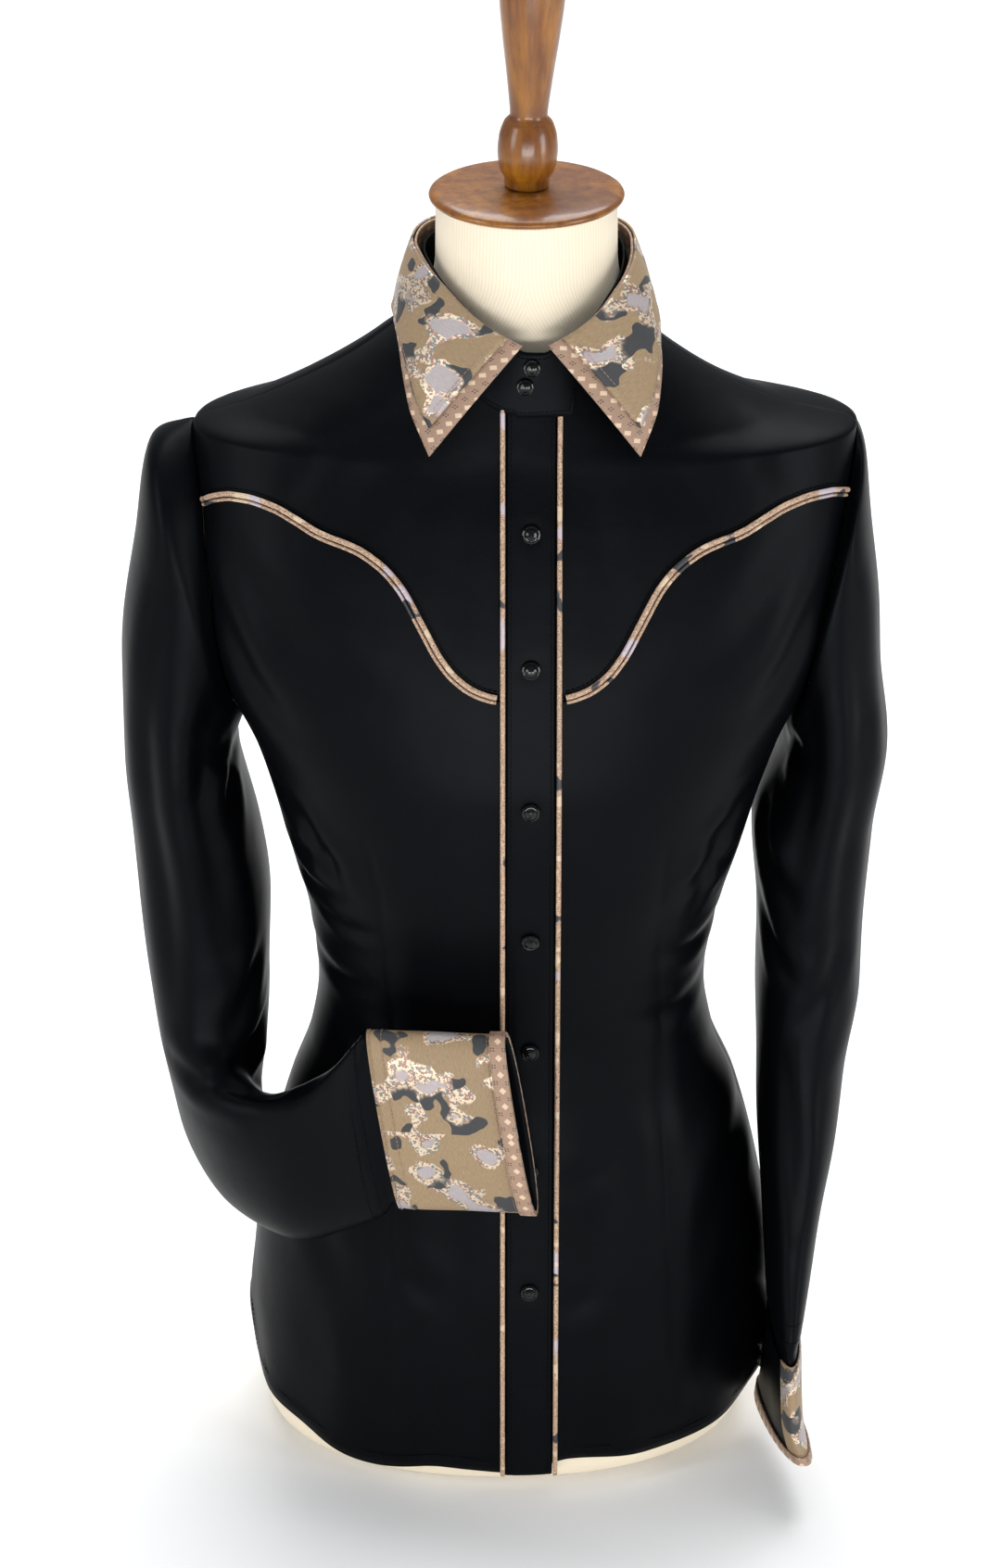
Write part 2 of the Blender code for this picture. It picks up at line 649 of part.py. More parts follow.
def build_collar():
    columns, rows = 20, 4
    inset_front, inset_edge = 0.030, 0.13

    def upper(column_share, row_share):
        share = min(max(column_share, inset_front), 1 - inset_front)
        return leaf_on(share, row_share * (1 - inset_edge), BROCADE + 0.0008)

    cloth("collar_trim", columns, rows, lambda c, r: leaf_on(c, r, 0), "trim_brocade", BROCADE)
    cloth("collar", columns, rows, upper, "patterned_brocade", BROCADE)

    tab_angle, sweep = math.radians(27), math.radians(378)

    def stand(column_share, row_share):
        angle = tab_angle - sweep * column_share
        lap = max(0.0, 1 - column_share * 6)
        lift = 0.0022 * min(1.0, lap * 1.6)
        turn = math.remainder(angle, 2 * math.pi)
        foot_angle, foot_height = neckline_at(turn)
        foot = on_torso(foot_angle, foot_height + 0.0018, 0.0008 + lift)
        top = fold_point(angle, 0.0046 - lift, 0.0045)
        corner = 0.010
        rounding = max(0.0, corner - column_share * 0.42) ** 2 / (2 * corner)
        top.z -= rounding * 2.2
        return foot.lerp(top, row_share)

    standing = grid_mesh("collar_stand", 34, 3, stand)
    made = add_object("collar_stand", standing, "black_satin")
    thicken = made.modifiers.new("wall", "SOLIDIFY")
    thicken.thickness = SATIN
    thicken.offset = 1
    thicken.use_even_offset = True
    for number, height in enumerate(COLLAR_BUTTON_HEIGHTS, 1):
        angle = math.radians(1)
        foot_angle, foot_height = neckline_at(angle)
        foot = on_torso(foot_angle, foot_height + 0.0012, 0.0028)
        top = fold_point(angle, 0.0024, 0.0045)
        share = (height - foot.z) / (top.z - foot.z)
        slope = (top - foot).normalized()
        facing = Vector((1, 0, 0)).cross(slope).normalized()
        button("collar_button_%d" % number, foot.lerp(top, share) + facing * SEAM_GAP,
               facing, SMALL_BUTTON_RADIUS)


# ---------------------------------------------------------------- sleeves


def armhole_point(side, around):
    """The armhole, drawn in from the panels' edge by a seam's gap; around 0 is its top."""
    middle = (SHOULDER_HEIGHT + UNDERARM_HEIGHT) / 2
    half = (SHOULDER_HEIGHT - UNDERARM_HEIGHT) / 2 - 3 * SEAM_GAP
    height = middle + half * math.cos(around)
    swing = (ARMHOLE_SWING - 3 * SEAM_GAP / 0.15) * math.sin(around)
    return on_torso(side * (math.pi / 2 - swing), height)


def blunt(share):
    return math.copysign(abs(share) ** RING_BLUNTNESS, share)


def ring_point(side, ring, around):
    """A point of an oval ring; around 0 is its outer side, a quarter turn its front."""
    centre, across, deep = Vector(ring[0:3]), Vector(ring[3:6]), Vector(ring[6:9])
    point = centre + across * blunt(math.cos(around)) + deep * blunt(math.sin(around))
    return Vector((side * point.x, point.y, point.z))


def sleeve_place(side, rows, first_share):
    def place(column_share, row_share):
        around = 2 * math.pi * (column_share if side > 0 else 1 - column_share)
        if row_share < 1e-6:
            return armhole_point(side, around)
        if row_share < first_share:
            blend = row_share / first_share
            return armhole_point(side, around).lerp(
                ring_point(side, rows[0], around), blend)
        progress = (row_share - first_share) / (1 - first_share)
        return ring_point(side, ring_at(rows, progress), around)
    return place


def build_sleeve(side, label, sleeve_rows, cuff_rows, ring_count):
    cloth("sleeve_" + label, RING_STEPS, ring_count, sleeve_place(side, sleeve_rows, 1 / ring_count),
          "black_satin", SATIN, wrap=True)

    def cuff(column_share, row_share, first=0.0, last=1.0, out=0.0):
        around = 2 * math.pi * (column_share if side > 0 else 1 - column_share)
        ring = ring_at(cuff_rows, first + (last - first) * row_share)
        point = ring_point(side, ring, around)
        deep = Vector((side * ring[6], ring[7], ring[8])).normalized()
        across = Vector((side * ring[3], ring[4], ring[5])).normalized()
        away = across * blunt(math.cos(around)) + deep * blunt(math.sin(around))
        return point + away * out if out else point

    cloth("cuff_" + label, RING_STEPS, 3, cuff, "patterned_brocade", CUFF_WALL, wrap=True)
    cloth("cuff_trim_" + label, RING_STEPS, 1,
          lambda c, r: cuff(c, r, 0.885, 0.995, BROCADE + 0.0008),
          "trim_brocade", BROCADE, wrap=True)


def build_cuff_buttons():
    """Two close buttons at the hidden edge of each cuff, on the face towards the body."""
    for side, label, rows, around in ((-1, "right", CUFF_BENT, math.radians(216)),
                                      (1, "left", CUFF_HANGING, math.radians(213))):
        for number, share in enumerate((0.40, 0.56), 1):
            ring = ring_at(rows, share)
            seat = ring_point(side, ring, around)
            step = ring_point(side, ring, around + 0.02) - ring_point(side, ring, around - 0.02)
            ahead = ring_point(side, ring_at(rows, share + 0.02), around) - ring_point(
                side, ring_at(rows, share - 0.02), around)
            facing = (step.cross(ahead) * -side).normalized()
            if facing.dot(seat - Vector((side * ring[0], ring[1], ring[2]))) < 0:
                facing.negate()
            button("cuff_button_%s_%d" % (label, number), seat + facing * SEAM_GAP,
                   facing, SMALL_BUTTON_RADIUS * 0.9)


# ---------------------------------------------------------------- the dress form


def build_form():
    heights = [0.0, 0.004, 0.012, 0.035, 0.075, 0.13, 0.19, 0.24, 0.29, 0.34, 0.40, 0.46, 0.52,
               0.58, 0.62, 0.645, 0.66, 0.678, 0.694, 0.708, 0.725, 0.750, 0.776]

    def place(column_share, row_share):
        height = heights[round(row_share * (len(heights) - 1))]
        inset = read_table(FORM_INSET, height)[0]
        point = on_torso(2 * math.pi * column_share, height, -inset)
        point.z = height if height < 0.05 or height > 0.72 else point.z
        return point

    surface = bmesh.new()
    surface.from_mesh(grid_mesh("form_side", 28, len(heights) - 1, place, wrap=True))
    rims = [edge for edge in surface.edges if edge.is_boundary]
    bmesh.ops.holes_fill(surface, edges=rims, sides=0)
    bmesh.ops.recalc_face_normals(surface, faces=surface.faces)
    mesh = bpy.data.meshes.new("form_body")
    surface.to_mesh(mesh)
    surface.free()
    bpy.data.meshes.remove(bpy.data.meshes["form_side"])
    add_object("form_body", mesh, "cream_jersey")
    cap = turned("form_neck_cap", NECK_CAP, 28, "varnished_wood")
    cap.location = (*NECK_CENTRE, 0)
    finial = turned("form_finial", FINIAL, 18, "varnished_wood")
    foot = Vector((*NECK_CENTRE, FINIAL[-1][1]))
    lean = Matrix.Rotation(FINIAL_LEAN, 4, "Y")
    finial.matrix_world = Matrix.Translation(foot) @ lean @ Matrix.Translation((0, 0, -foot.z))


# ---------------------------------------------------------------- build

for leftover in list(bpy.data.objects):
    bpy.data.objects.remove(leftover, do_unlink=True)

PARTS = bpy.data.collections.new("western_shirt_on_a_dress_form")
bpy.context.scene.collection.children.link(PARTS)

MATERIALS = {
    "black_satin": material("black_satin", (0.010, 0.011, 0.015), 0.42),
    "patterned_brocade": material("patterned_brocade", (0.40, 0.29, 0.16), 0.45, 0.25),
    "trim_brocade": material("trim_brocade", (0.52, 0.35, 0.26), 0.5, 0.15),
    "piping_brocade": material("piping_brocade", (0.48, 0.34, 0.22), 0.5, 0.15),
    "black_button": material("black_button", (0.006, 0.006, 0.007), 0.08),
    "cream_jersey": material("cream_jersey", (0.82, 0.74, 0.60), 0.85),
    "varnished_wood": material("varnished_wood", (0.30, 0.10, 0.04), 0.25),
}

build_form()
build_fronts()
build_back()
build_placket()
build_collar()
build_sleeve(-1, "right", SLEEVE_BENT, CUFF_BENT, 16)
build_sleeve(1, "left", SLEEVE_HANGING, CUFF_HANGING, 14)
build_cuff_buttons()
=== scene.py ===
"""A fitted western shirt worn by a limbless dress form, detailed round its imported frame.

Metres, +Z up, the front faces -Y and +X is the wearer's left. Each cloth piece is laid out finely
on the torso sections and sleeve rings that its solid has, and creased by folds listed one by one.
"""

import math

import bmesh
import bpy
import numpy as np
from mathutils import Matrix, Vector


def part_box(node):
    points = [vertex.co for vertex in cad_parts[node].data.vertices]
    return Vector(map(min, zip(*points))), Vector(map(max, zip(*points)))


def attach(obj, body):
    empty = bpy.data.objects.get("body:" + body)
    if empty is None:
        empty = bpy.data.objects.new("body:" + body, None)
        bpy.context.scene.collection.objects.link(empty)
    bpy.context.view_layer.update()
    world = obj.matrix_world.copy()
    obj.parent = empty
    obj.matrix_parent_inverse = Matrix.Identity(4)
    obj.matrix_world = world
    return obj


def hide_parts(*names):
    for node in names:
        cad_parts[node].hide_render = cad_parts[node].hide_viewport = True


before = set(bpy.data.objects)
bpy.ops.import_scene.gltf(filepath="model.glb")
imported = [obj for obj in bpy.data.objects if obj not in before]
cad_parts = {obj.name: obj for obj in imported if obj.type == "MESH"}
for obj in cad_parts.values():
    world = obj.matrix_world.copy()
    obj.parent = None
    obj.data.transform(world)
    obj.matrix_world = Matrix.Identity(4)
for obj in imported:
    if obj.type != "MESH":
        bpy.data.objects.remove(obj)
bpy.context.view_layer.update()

# ---------------------------------------------------------------- driving sizes

SATIN = 0.0009
BROCADE = 0.0012
SEAM_GAP = 0.0003
FORM_EASE = 0.0042

PLACKET_CENTRE = 0.0095
PLACKET_HALF = 0.0139
PIPING_RADIUS = 0.0014
SEAM_OFFSET = 0.0155
BAND_LIFT = 0.0017
STITCHED_SHARE = 0.80       # of the band's half width, where its stitches run

UNDERARM_HEIGHT = 0.472
SHOULDER_HEIGHT = 0.646
ARMHOLE_MIDDLE = (SHOULDER_HEIGHT + UNDERARM_HEIGHT) / 2
ARMHOLE_HALF = (SHOULDER_HEIGHT - UNDERARM_HEIGHT) / 2
ARMHOLE_SWING = math.radians(25)
ARMHOLE_TUCK = math.radians(1.1)        # how far the panels run on under the sleeve head
ARMHOLE_STEPS = 20
SIDE_RADIUS = 0.06
BAND_TURN = 0.09                        # round the neck from the front, at the band's top

# How much deeper than in their tables the folds are pressed, and how far any may sink
FRONT_FOLD_GAIN = 1.6
SLEEVE_FOLD_GAIN = 1.25
FRONT_SINK_LIMIT = 0.0028
BACK_SINK_LIMIT = 0.0026
HEM_TURN_UP = 0.0085
HEM_STITCH_LINE = 0.0080

# Torso, outer face of the shirt.
# height, half_width, front, back, shift_x, squareness
TORSO = (
    (0.000, 0.1550, 0.1160, 0.1140, -0.006, 2.2),
    (0.065, 0.1602, 0.1180, 0.1160, 0.000, 2.2),
    (0.118, 0.1563, 0.1165, 0.1130, 0.000, 2.2),
    (0.170, 0.1470, 0.1120, 0.1030, 0.000, 2.2),
    (0.222, 0.1335, 0.1070, 0.0920, 0.000, 2.2),
    (0.260, 0.1195, 0.1020, 0.0830, -0.001, 2.2),
    (0.298, 0.1140, 0.1000, 0.0780, -0.001, 2.2),
    (0.348, 0.1200, 0.1080, 0.0820, 0.000, 2.3),
    (0.397, 0.1330, 0.1175, 0.0900, 0.001, 2.4),
    (0.460, 0.1510, 0.1200, 0.1000, 0.002, 2.4),
    (0.500, 0.1690, 0.1150, 0.1035, 0.002, 2.4),
    (0.541, 0.1810, 0.1070, 0.1050, 0.003, 2.4),
    (0.580, 0.1860, 0.0965, 0.1010, 0.004, 2.4),
    (0.613, 0.1870, 0.0860, 0.0930, 0.006, 2.3),
    (0.646, 0.1860, 0.0740, 0.0750, 0.0065, 2.2),
    (0.658, 0.1490, 0.0710, 0.0650, 0.001, 2.1),
    (0.670, 0.1210, 0.0680, 0.0595, 0.000, 2.1),
    (0.684, 0.0960, 0.0645, 0.0570, 0.001, 2.1),
    (0.696, 0.0790, 0.0620, 0.0555, 0.002, 2.1),
    (0.708, 0.0668, 0.0590, 0.0550, 0.005, 2.0),
    (0.722, 0.0585, 0.0565, 0.0545, 0.007, 2.0),
    (0.745, 0.0545, 0.0545, 0.0545, 0.007, 2.0),
    (0.776, 0.0542, 0.0542, 0.0542, 0.007, 2.0),
)

# Form below the hips, where it leaves the shirt and rounds into its underside.
# height, how far the form's face lies inside the torso surface
FORM_INSET = (
    (0.000, 0.0160),
    (0.004, 0.0115),
    (0.012, 0.0082),
    (0.035, 0.0048),
    (0.065, FORM_EASE),
    (0.776, FORM_EASE),
)

# Neckline, seen from above. angle from the front, distance from the neck's centre
NECKLINE = (
    (0, 0.0660),
    (45, 0.0655),
    (90, 0.0655),
    (135, 0.0610),
    (180, 0.0575),
)

# Yoke seam. distance from the button line, height
YOKE_AT_ARMHOLE = ARMHOLE_MIDDLE + ARMHOLE_HALF * math.cos(math.radians(54))
YOKE = (
    (0.000, 0.5240),
    (0.018, 0.5243),
    (0.030, 0.5275),
    (0.042, 0.5355),
    (0.051, 0.5465),
    (0.060, 0.5625),
    (0.072, 0.5832),
    (0.083, 0.5943),
    (0.096, 0.6018),
    (0.117, 0.6080),
    (0.130, 0.6140),
    (0.142, 0.6185),
    (0.155, 0.6203),
    (0.165, 0.6194),
    (0.172, 0.6168),
    (0.177, 0.6138),
    (0.182, YOKE_AT_ARMHOLE),
    (0.190, YOKE_AT_ARMHOLE),
)

HEM_AT_SIDE = 0.0750

# Hem. angle from the front (the wearer's right is negative), height
HEM = (
    (-180, 0.0180),
    (-120, 0.0330),
    (-90, HEM_AT_SIDE),
    (-72, 0.0400),
    (-50, 0.0240),
    (-28, 0.0120),
    (-14, 0.0180),
    (0, 0.0140),
    (14, 0.0230),
    (35, 0.0210),
    (55, 0.0290),
    (70, 0.0440),
    (90, HEM_AT_SIDE),
    (120, 0.0330),
    (180, 0.0180),
)

# Collar. angle from the front, fold radius, fold height, then the leaf's lower edge x, y, z
COLLAR = (
    (5, 0.0695, 0.7160, 0.0575, -0.0790, 0.6550),
    (27, 0.0655, 0.7270, 0.0685, -0.0600, 0.6790),
    (51, 0.0612, 0.7400, 0.0720, -0.0370, 0.7000),
    (82, 0.0595, 0.7500, 0.0725, -0.0090, 0.7075),
    (119, 0.0615, 0.7520, 0.0645, 0.0340, 0.7065),
    (150, 0.0605, 0.7490, 0.0380, 0.0600, 0.6990),
    (180, 0.0600, 0.7470, 0.0000, 0.0690, 0.6930),
)
COLLAR_CENTRE = 0.0055      # of the neck; the leaves' points lie further to the wearer's left
COLLAR_SWAY = 0.0060

# Sleeve rings from the armhole down. x is outwards from the middle.
# centre x, y, z; half across (towards the outside) x, y, z; half deep (towards the front) x, y, z
SLEEVE_BENT = (
    (0.1808, 0.002, 0.5475, 0.0222, 0.000, 0.0865, 0.000, -0.056, 0.000),
    (0.1875, 0.003, 0.5160, 0.0275, 0.000, 0.0640, 0.000, -0.058, 0.000),
    (0.1915, 0.003, 0.4775, 0.0325, 0.000, 0.0325, 0.000, -0.060, 0.000),
    (0.1915, 0.002, 0.4410, 0.0335, 0.000, 0.0040, 0.000, -0.061, 0.000),
    (0.1850, 0.000, 0.3930, 0.0370, 0.000, 0.0020, 0.000, -0.060, 0.001),
    (0.1805, -0.002, 0.3430, 0.0378, 0.000, 0.0000, 0.000, -0.058, 0.005),
    (0.1790, -0.006, 0.2960, 0.0345, -0.002, 0.0000, 0.000, -0.056, 0.016),
    (0.1775, -0.014, 0.2530, 0.0300, -0.006, 0.0000, 0.000, -0.053, 0.028),
    (0.1735, -0.034, 0.2220, 0.0235, -0.011, 0.0000, -0.005, -0.044, 0.044),
    (0.1540, -0.067, 0.2100, 0.0170, -0.014, 0.0000, -0.005, -0.024, 0.052),
    (0.1245, -0.094, 0.2180, 0.0140, -0.0170, 0.0000, -0.003, -0.008, 0.056),
    (0.0980, -0.114, 0.2410, 0.0085, -0.0155, 0.0000, 0.003, -0.002, 0.0565),
    (0.0810, -0.1290, 0.2620, 0.0030, -0.0125, 0.0000, 0.008, 0.000, 0.0565),
    (0.0768, -0.1320, 0.2690, 0.0014, -0.0098, 0.0000, 0.0086, 0.000, 0.0550),
    (0.0670, -0.1345, 0.2700, 0.0014, -0.0098, 0.0000, 0.0086, 0.000, 0.0550),
)
CUFF_BENT = (
    (0.0740, -0.1335, 0.2697, 0.0015, -0.0125, 0.0000, 0.009, 0.000, 0.0585),
    (0.0340, -0.1380, 0.2710, 0.0020, -0.0140, 0.0000, 0.009, 0.000, 0.0580),
    (-0.0047, -0.1430, 0.2720, 0.0020, -0.0155, 0.0000, 0.009, 0.000, 0.0575),
)
SLEEVE_HANGING = (
    (0.1780, 0.002, 0.5465, 0.0205, 0.000, 0.0855, 0.000, -0.056, 0.000),
    (0.1818, 0.003, 0.5160, 0.0228, 0.000, 0.0640, 0.000, -0.058, 0.000),
    (0.1838, 0.003, 0.4775, 0.0272, 0.000, 0.0325, 0.000, -0.059, 0.000),
    (0.1845, 0.002, 0.4460, 0.0312, 0.000, 0.0090, 0.000, -0.060, 0.000),
    (0.1745, 0.000, 0.3970, 0.0345, 0.000, 0.0020, 0.000, -0.060, 0.000),
    (0.1740, -0.004, 0.3480, 0.0315, 0.000, 0.0000, 0.000, -0.058, 0.002),
    (0.1740, -0.010, 0.2985, 0.0308, 0.000, 0.0000, 0.000, -0.055, 0.005),
    (0.1710, -0.020, 0.2475, 0.0262, 0.001, 0.0000, 0.001, -0.053, 0.008),
    (0.1685, -0.036, 0.1960, 0.0215, 0.002, 0.0000, 0.001, -0.052, 0.008),
    (0.1650, -0.056, 0.1450, 0.0145, 0.002, 0.0000, 0.001, -0.050, 0.006),
    (0.1620, -0.075, 0.1080, 0.0092, 0.001, 0.0000, 0.002, -0.049, 0.003),
    (0.1618, -0.078, 0.0985, 0.0068, 0.001, 0.0000, 0.002, -0.0465, 0.003),
    (0.1618, -0.081, 0.0880, 0.0068, 0.001, 0.0000, 0.002, -0.0465, 0.002),
)
CUFF_HANGING = (
    (0.1620, -0.080, 0.0950, 0.0088, 0.001, 0.0000, 0.002, -0.0500, 0.003),
    (0.1620, -0.086, 0.0600, 0.0088, 0.001, 0.0000, 0.004, -0.0505, 0.000),
    (0.1625, -0.093, 0.0330, 0.0086, 0.002, 0.0000, 0.010, -0.0490, 0.005),
)
RING_BLUNTNESS = 0.85       # under 1 rounds off the tips of a flattened ring

# Turned wood. radius, height
NECK_CAP = (
    (0.0000, 0.7835),
    (0.0300, 0.7832),
    (0.0490, 0.7820),
    (0.0534, 0.7800),
    (0.0540, 0.7780),
    (0.0525, 0.7763),
    (0.0000, 0.7763),
)
FINIAL = (
    (0.0000, 0.9170),
    (0.0100, 0.9162),
    (0.0165, 0.9120),
    (0.0185, 0.9040),
    (0.0177, 0.8880),
    (0.0155, 0.8676),
    (0.0128, 0.8470),
    (0.0104, 0.8250),
    (0.0135, 0.8200),
    (0.0160, 0.8120),
    (0.0166, 0.8040),
    (0.0155, 0.7950),
    (0.0125, 0.7880),
    (0.0120, 0.7840),
    (0.0000, 0.7840),
)
FINIAL_LEAN = math.radians(1.5)
NECK_CENTRE = (0.0070, 0.0000)

# ---------------------------------------------------------------- the shirt's surface


def smooth_columns(rows, at):
    """A table's other columns at values of its first, smooth and without overshoot."""
    rows = np.array(rows, float)
    x, y = rows[:, 0], rows[:, 1:]
    rise = np.diff(y, axis=0) / np.diff(x)[:, None]
    product, total = rise[:-1] * rise[1:], rise[:-1] + rise[1:]
    slope = np.concatenate([
        rise[:1], np.where(product > 0, 2 * product / np.where(product > 0, total, 1), 0), rise[-1:]
    ])
    at = np.clip(np.asarray(at, float), x[0], x[-1])
    low = np.clip(np.searchsorted(x, at) - 1, 0, len(x) - 2)
    step = (x[low + 1] - x[low])[..., None]
    t = (at - x[low])[..., None] / step
    return (y[low] * (2 * t ** 3 - 3 * t * t + 1) + slope[low] * step * (t ** 3 - 2 * t * t + t)
            + y[low + 1] * (3 * t * t - 2 * t ** 3) + slope[low + 1] * step * (t ** 3 - t * t))


def torso_section(angle, height):
    half_width, front, back, shift, squareness = np.moveaxis(smooth_columns(TORSO, height), -1, 0)
    across, along = np.sin(angle), np.cos(angle)
    reach = (np.abs(across) ** squareness + np.abs(along) ** squareness) ** (-1 / squareness)
    depth = np.where(along > 0, front, back)
    return np.stack([shift + half_width * reach * across, -depth * reach * along, height], -1)


def unit(vectors):
    return vectors / np.maximum(np.linalg.norm(vectors, axis=-1, keepdims=True), 1e-12)


def torso_normal(angle, height):
    around = torso_section(angle + 0.01, height) - torso_section(angle - 0.01, height)
    upward = torso_section(angle, height + 0.002) - torso_section(angle, height - 0.002)
    return unit(np.cross(around, upward))


def on_torso(angle, height, out=0.0):
    """Points of the shirt's outer face, moved out along its normal."""
    angle, height = np.broadcast_arrays(np.asarray(angle, float), np.asarray(height, float))
    moved = np.asarray(out, float)[..., None] * torso_normal(angle, height)
    return torso_section(angle, height) + moved


def front_angle(x, height):
    """The angle at which the front has this x."""
    half_width, _, _, shift, squareness = np.moveaxis(smooth_columns(TORSO, height), -1, 0)
    share = np.minimum(np.abs(x - shift) / half_width, 1.0)
    return np.copysign(np.arctan2(share, (1 - share ** squareness) ** (1 / squareness)), x - shift)


def armhole_reach(height, gap=SEAM_GAP):
    share = np.clip((np.asarray(height, float) - ARMHOLE_MIDDLE) / ARMHOLE_HALF, -1, 1)
    return (ARMHOLE_SWING - ARMHOLE_TUCK) * np.sqrt(1 - share * share) + gap / SIDE_RADIUS


def armhole_heights(lowest, highest):
    steps = np.arange(ARMHOLE_STEPS // 2 + 1)
    heights = ARMHOLE_MIDDLE - ARMHOLE_HALF * np.cos(2 * math.pi * steps / ARMHOLE_STEPS)
    return [height for height in heights if lowest - 1e-6 <= height <= highest + 1e-6]


def neckline_at(turn):
    """The torso angle and height where the neckline passes a turn round the neck."""
    turn = np.asarray(turn, float)
    radius = smooth_columns(NECKLINE, np.degrees(np.abs(turn)))[..., 0]
    across, along = radius * np.sin(turn), radius * np.cos(turn)
    low, high = np.full(turn.shape, 0.65), np.full(turn.shape, 0.74)
    for _ in range(30):
        height = (low + high) / 2
        half_width, front, back, _, squareness = np.moveaxis(smooth_columns(TORSO, height), -1, 0)
        share_x = np.abs(across) / half_width
        share_y = np.abs(along) / np.where(along > 0, front, back)
        inside = share_x ** squareness + share_y ** squareness < 1
        low, high = np.where(inside, height, low), np.where(inside, high, height)
    angle = np.arctan2(share_x, np.copysign(share_y, along))
    return np.copysign(angle, turn), height


def signed(angle):
    """An angle of up to a full turn, as one from minus to plus half a turn."""
    return np.where(angle <= math.pi, angle, angle - 2 * math.pi)


def hem_height(angle):
    return smooth_columns(HEM, np.degrees(angle))[..., 0]


def yoke_height(x):
    return smooth_columns(YOKE, np.abs(x - PLACKET_CENTRE))[..., 0]


def refined(stations, count):
    """A list of heights with steps put between its own."""
    return np.interp(np.linspace(0, len(stations) - 1, count), np.arange(len(stations)), stations)


def seam_x(side):
    return PLACKET_CENTRE - SEAM_OFFSET + side * SEAM_GAP / 2


FRONT_ROWS = (list(np.linspace(HEM_AT_SIDE, UNDERARM_HEIGHT, 9)[:-1])
              + armhole_heights(UNDERARM_HEIGHT, YOKE_AT_ARMHOLE))


def front_at(side, outward, height):
    """Torso angles and heights of a front panel; height is that of its row at the side."""
    rise = (height - HEM_AT_SIDE) / (YOKE_AT_ARMHOLE - HEM_AT_SIDE)
    outward, rise, height = np.broadcast_arrays(outward, rise, height)
    for _ in range(60):
        inner = front_angle(seam_x(side), height)
        outer = side * (math.pi / 2 - armhole_reach(height))
        angle = inner + (outer - inner) * outward
        bottom = hem_height(angle)
        top = yoke_height(torso_section(angle, height)[..., 0])
        height = (2 * height + bottom + (top - bottom) * rise) / 3
    return angle, height


def yoke_at(side, outward, row):
    """Torso angles and heights of a yoke; row counts up from its seam."""
    armhole = armhole_heights(YOKE_AT_ARMHOLE, SHOULDER_HEIGHT)
    neck_side = float(neckline_at(math.pi / 2)[1])
    shoulder = [SHOULDER_HEIGHT + (neck_side - SHOULDER_HEIGHT) * share
                for share in (0.15, 0.32, 0.50, 0.67, 0.84, 0.985)]
    foot, band_top = float(yoke_height(PLACKET_CENTRE - SEAM_OFFSET)), float(neckline_at(BAND_TURN)[1])
    turns = [BAND_TURN] + [math.radians(turn) for turn in (24, 44, 62, 78)]

    def straight(row, outward):
        band = foot + (band_top - foot) * np.minimum(row, 5) / 5
        neck_angle, neck_height = neckline_at(np.interp(row, range(5, 10), turns))
        inner_height = np.where(row <= 5, band, neck_height)
        inner_angle = np.where(row <= 5, front_angle(seam_x(side), band), side * neck_angle)
        outer_height = np.interp(row, range(10), armhole + shoulder)
        outer_angle = side * (math.pi / 2 - armhole_reach(outer_height))
        return (inner_angle + (outer_angle - inner_angle) * outward,
                inner_height + (outer_height - inner_height) * outward)

    angle, height = straight(row, outward)
    fade = np.maximum(0.0, 1 - row / (len(armhole) + 1))
    seam_angle, seam_height = front_at(side, outward, YOKE_AT_ARMHOLE)
    foot_angle, foot_height = straight(np.zeros_like(row), outward)
    return (angle + (seam_angle - foot_angle) * fade,
            height + (seam_height + 2 * SEAM_GAP - foot_height) * fade)


def back_at(share, row):
    """Torso angles and heights of the back; row is its height at the side."""
    side_top = float(neckline_at(math.pi / 2)[1])
    start = math.pi / 2 + armhole_reach(row, -0.0018)
    angle = start + (2 * math.pi - 2 * start) * share
    lift = np.clip((UNDERARM_HEIGHT - row) / (UNDERARM_HEIGHT - HEM_AT_SIDE), 0, 1)
    height = row + (hem_height(signed(angle)) - HEM_AT_SIDE) * lift
    climb = np.clip((row - SHOULDER_HEIGHT) / (side_top - SHOULDER_HEIGHT), 0, 1)
    neck_angle, neck_height = neckline_at(signed(math.pi / 2 + math.pi * share))
    neck_angle = np.where(neck_angle > 0, neck_angle, neck_angle + 2 * math.pi)
    return angle + (neck_angle - angle) * climb * climb, height + (neck_height - side_top) * climb


def blunt(share):
    return np.copysign(np.abs(share) ** RING_BLUNTNESS, share)


def ring_points(side, rings, around):
    """Oval rings' points, one row a ring; around 0 is the outer side, a quarter turn the front."""
    rings = np.atleast_2d(np.array(rings, float))[:, None, :]
    spread = blunt(np.cos(around))[None, :, None], blunt(np.sin(around))[None, :, None]
    points = rings[..., 0:3] + rings[..., 3:6] * spread[0] + rings[..., 6:9] * spread[1]
    return points * np.array([side, 1, 1])


def armhole_ring(side, around):
    """The sleeve's first ring, just over the panels' edges."""
    swing = ARMHOLE_SWING * np.sin(around)
    height = ARMHOLE_MIDDLE + (ARMHOLE_HALF + 3 * SEAM_GAP) * np.cos(around)
    return on_torso(side * (math.pi / 2 - swing), height, 2 * SEAM_GAP)


def through(stations, at):
    """A smooth surface through rows of points, at fractional row numbers."""
    stations = np.array(stations)
    flat = stations.reshape(len(stations), -1)
    table = np.column_stack([np.arange(len(stations)), flat])
    return smooth_columns(table, at).reshape(len(at), *stations.shape[1:])


# ---------------------------------------------------------------- folds


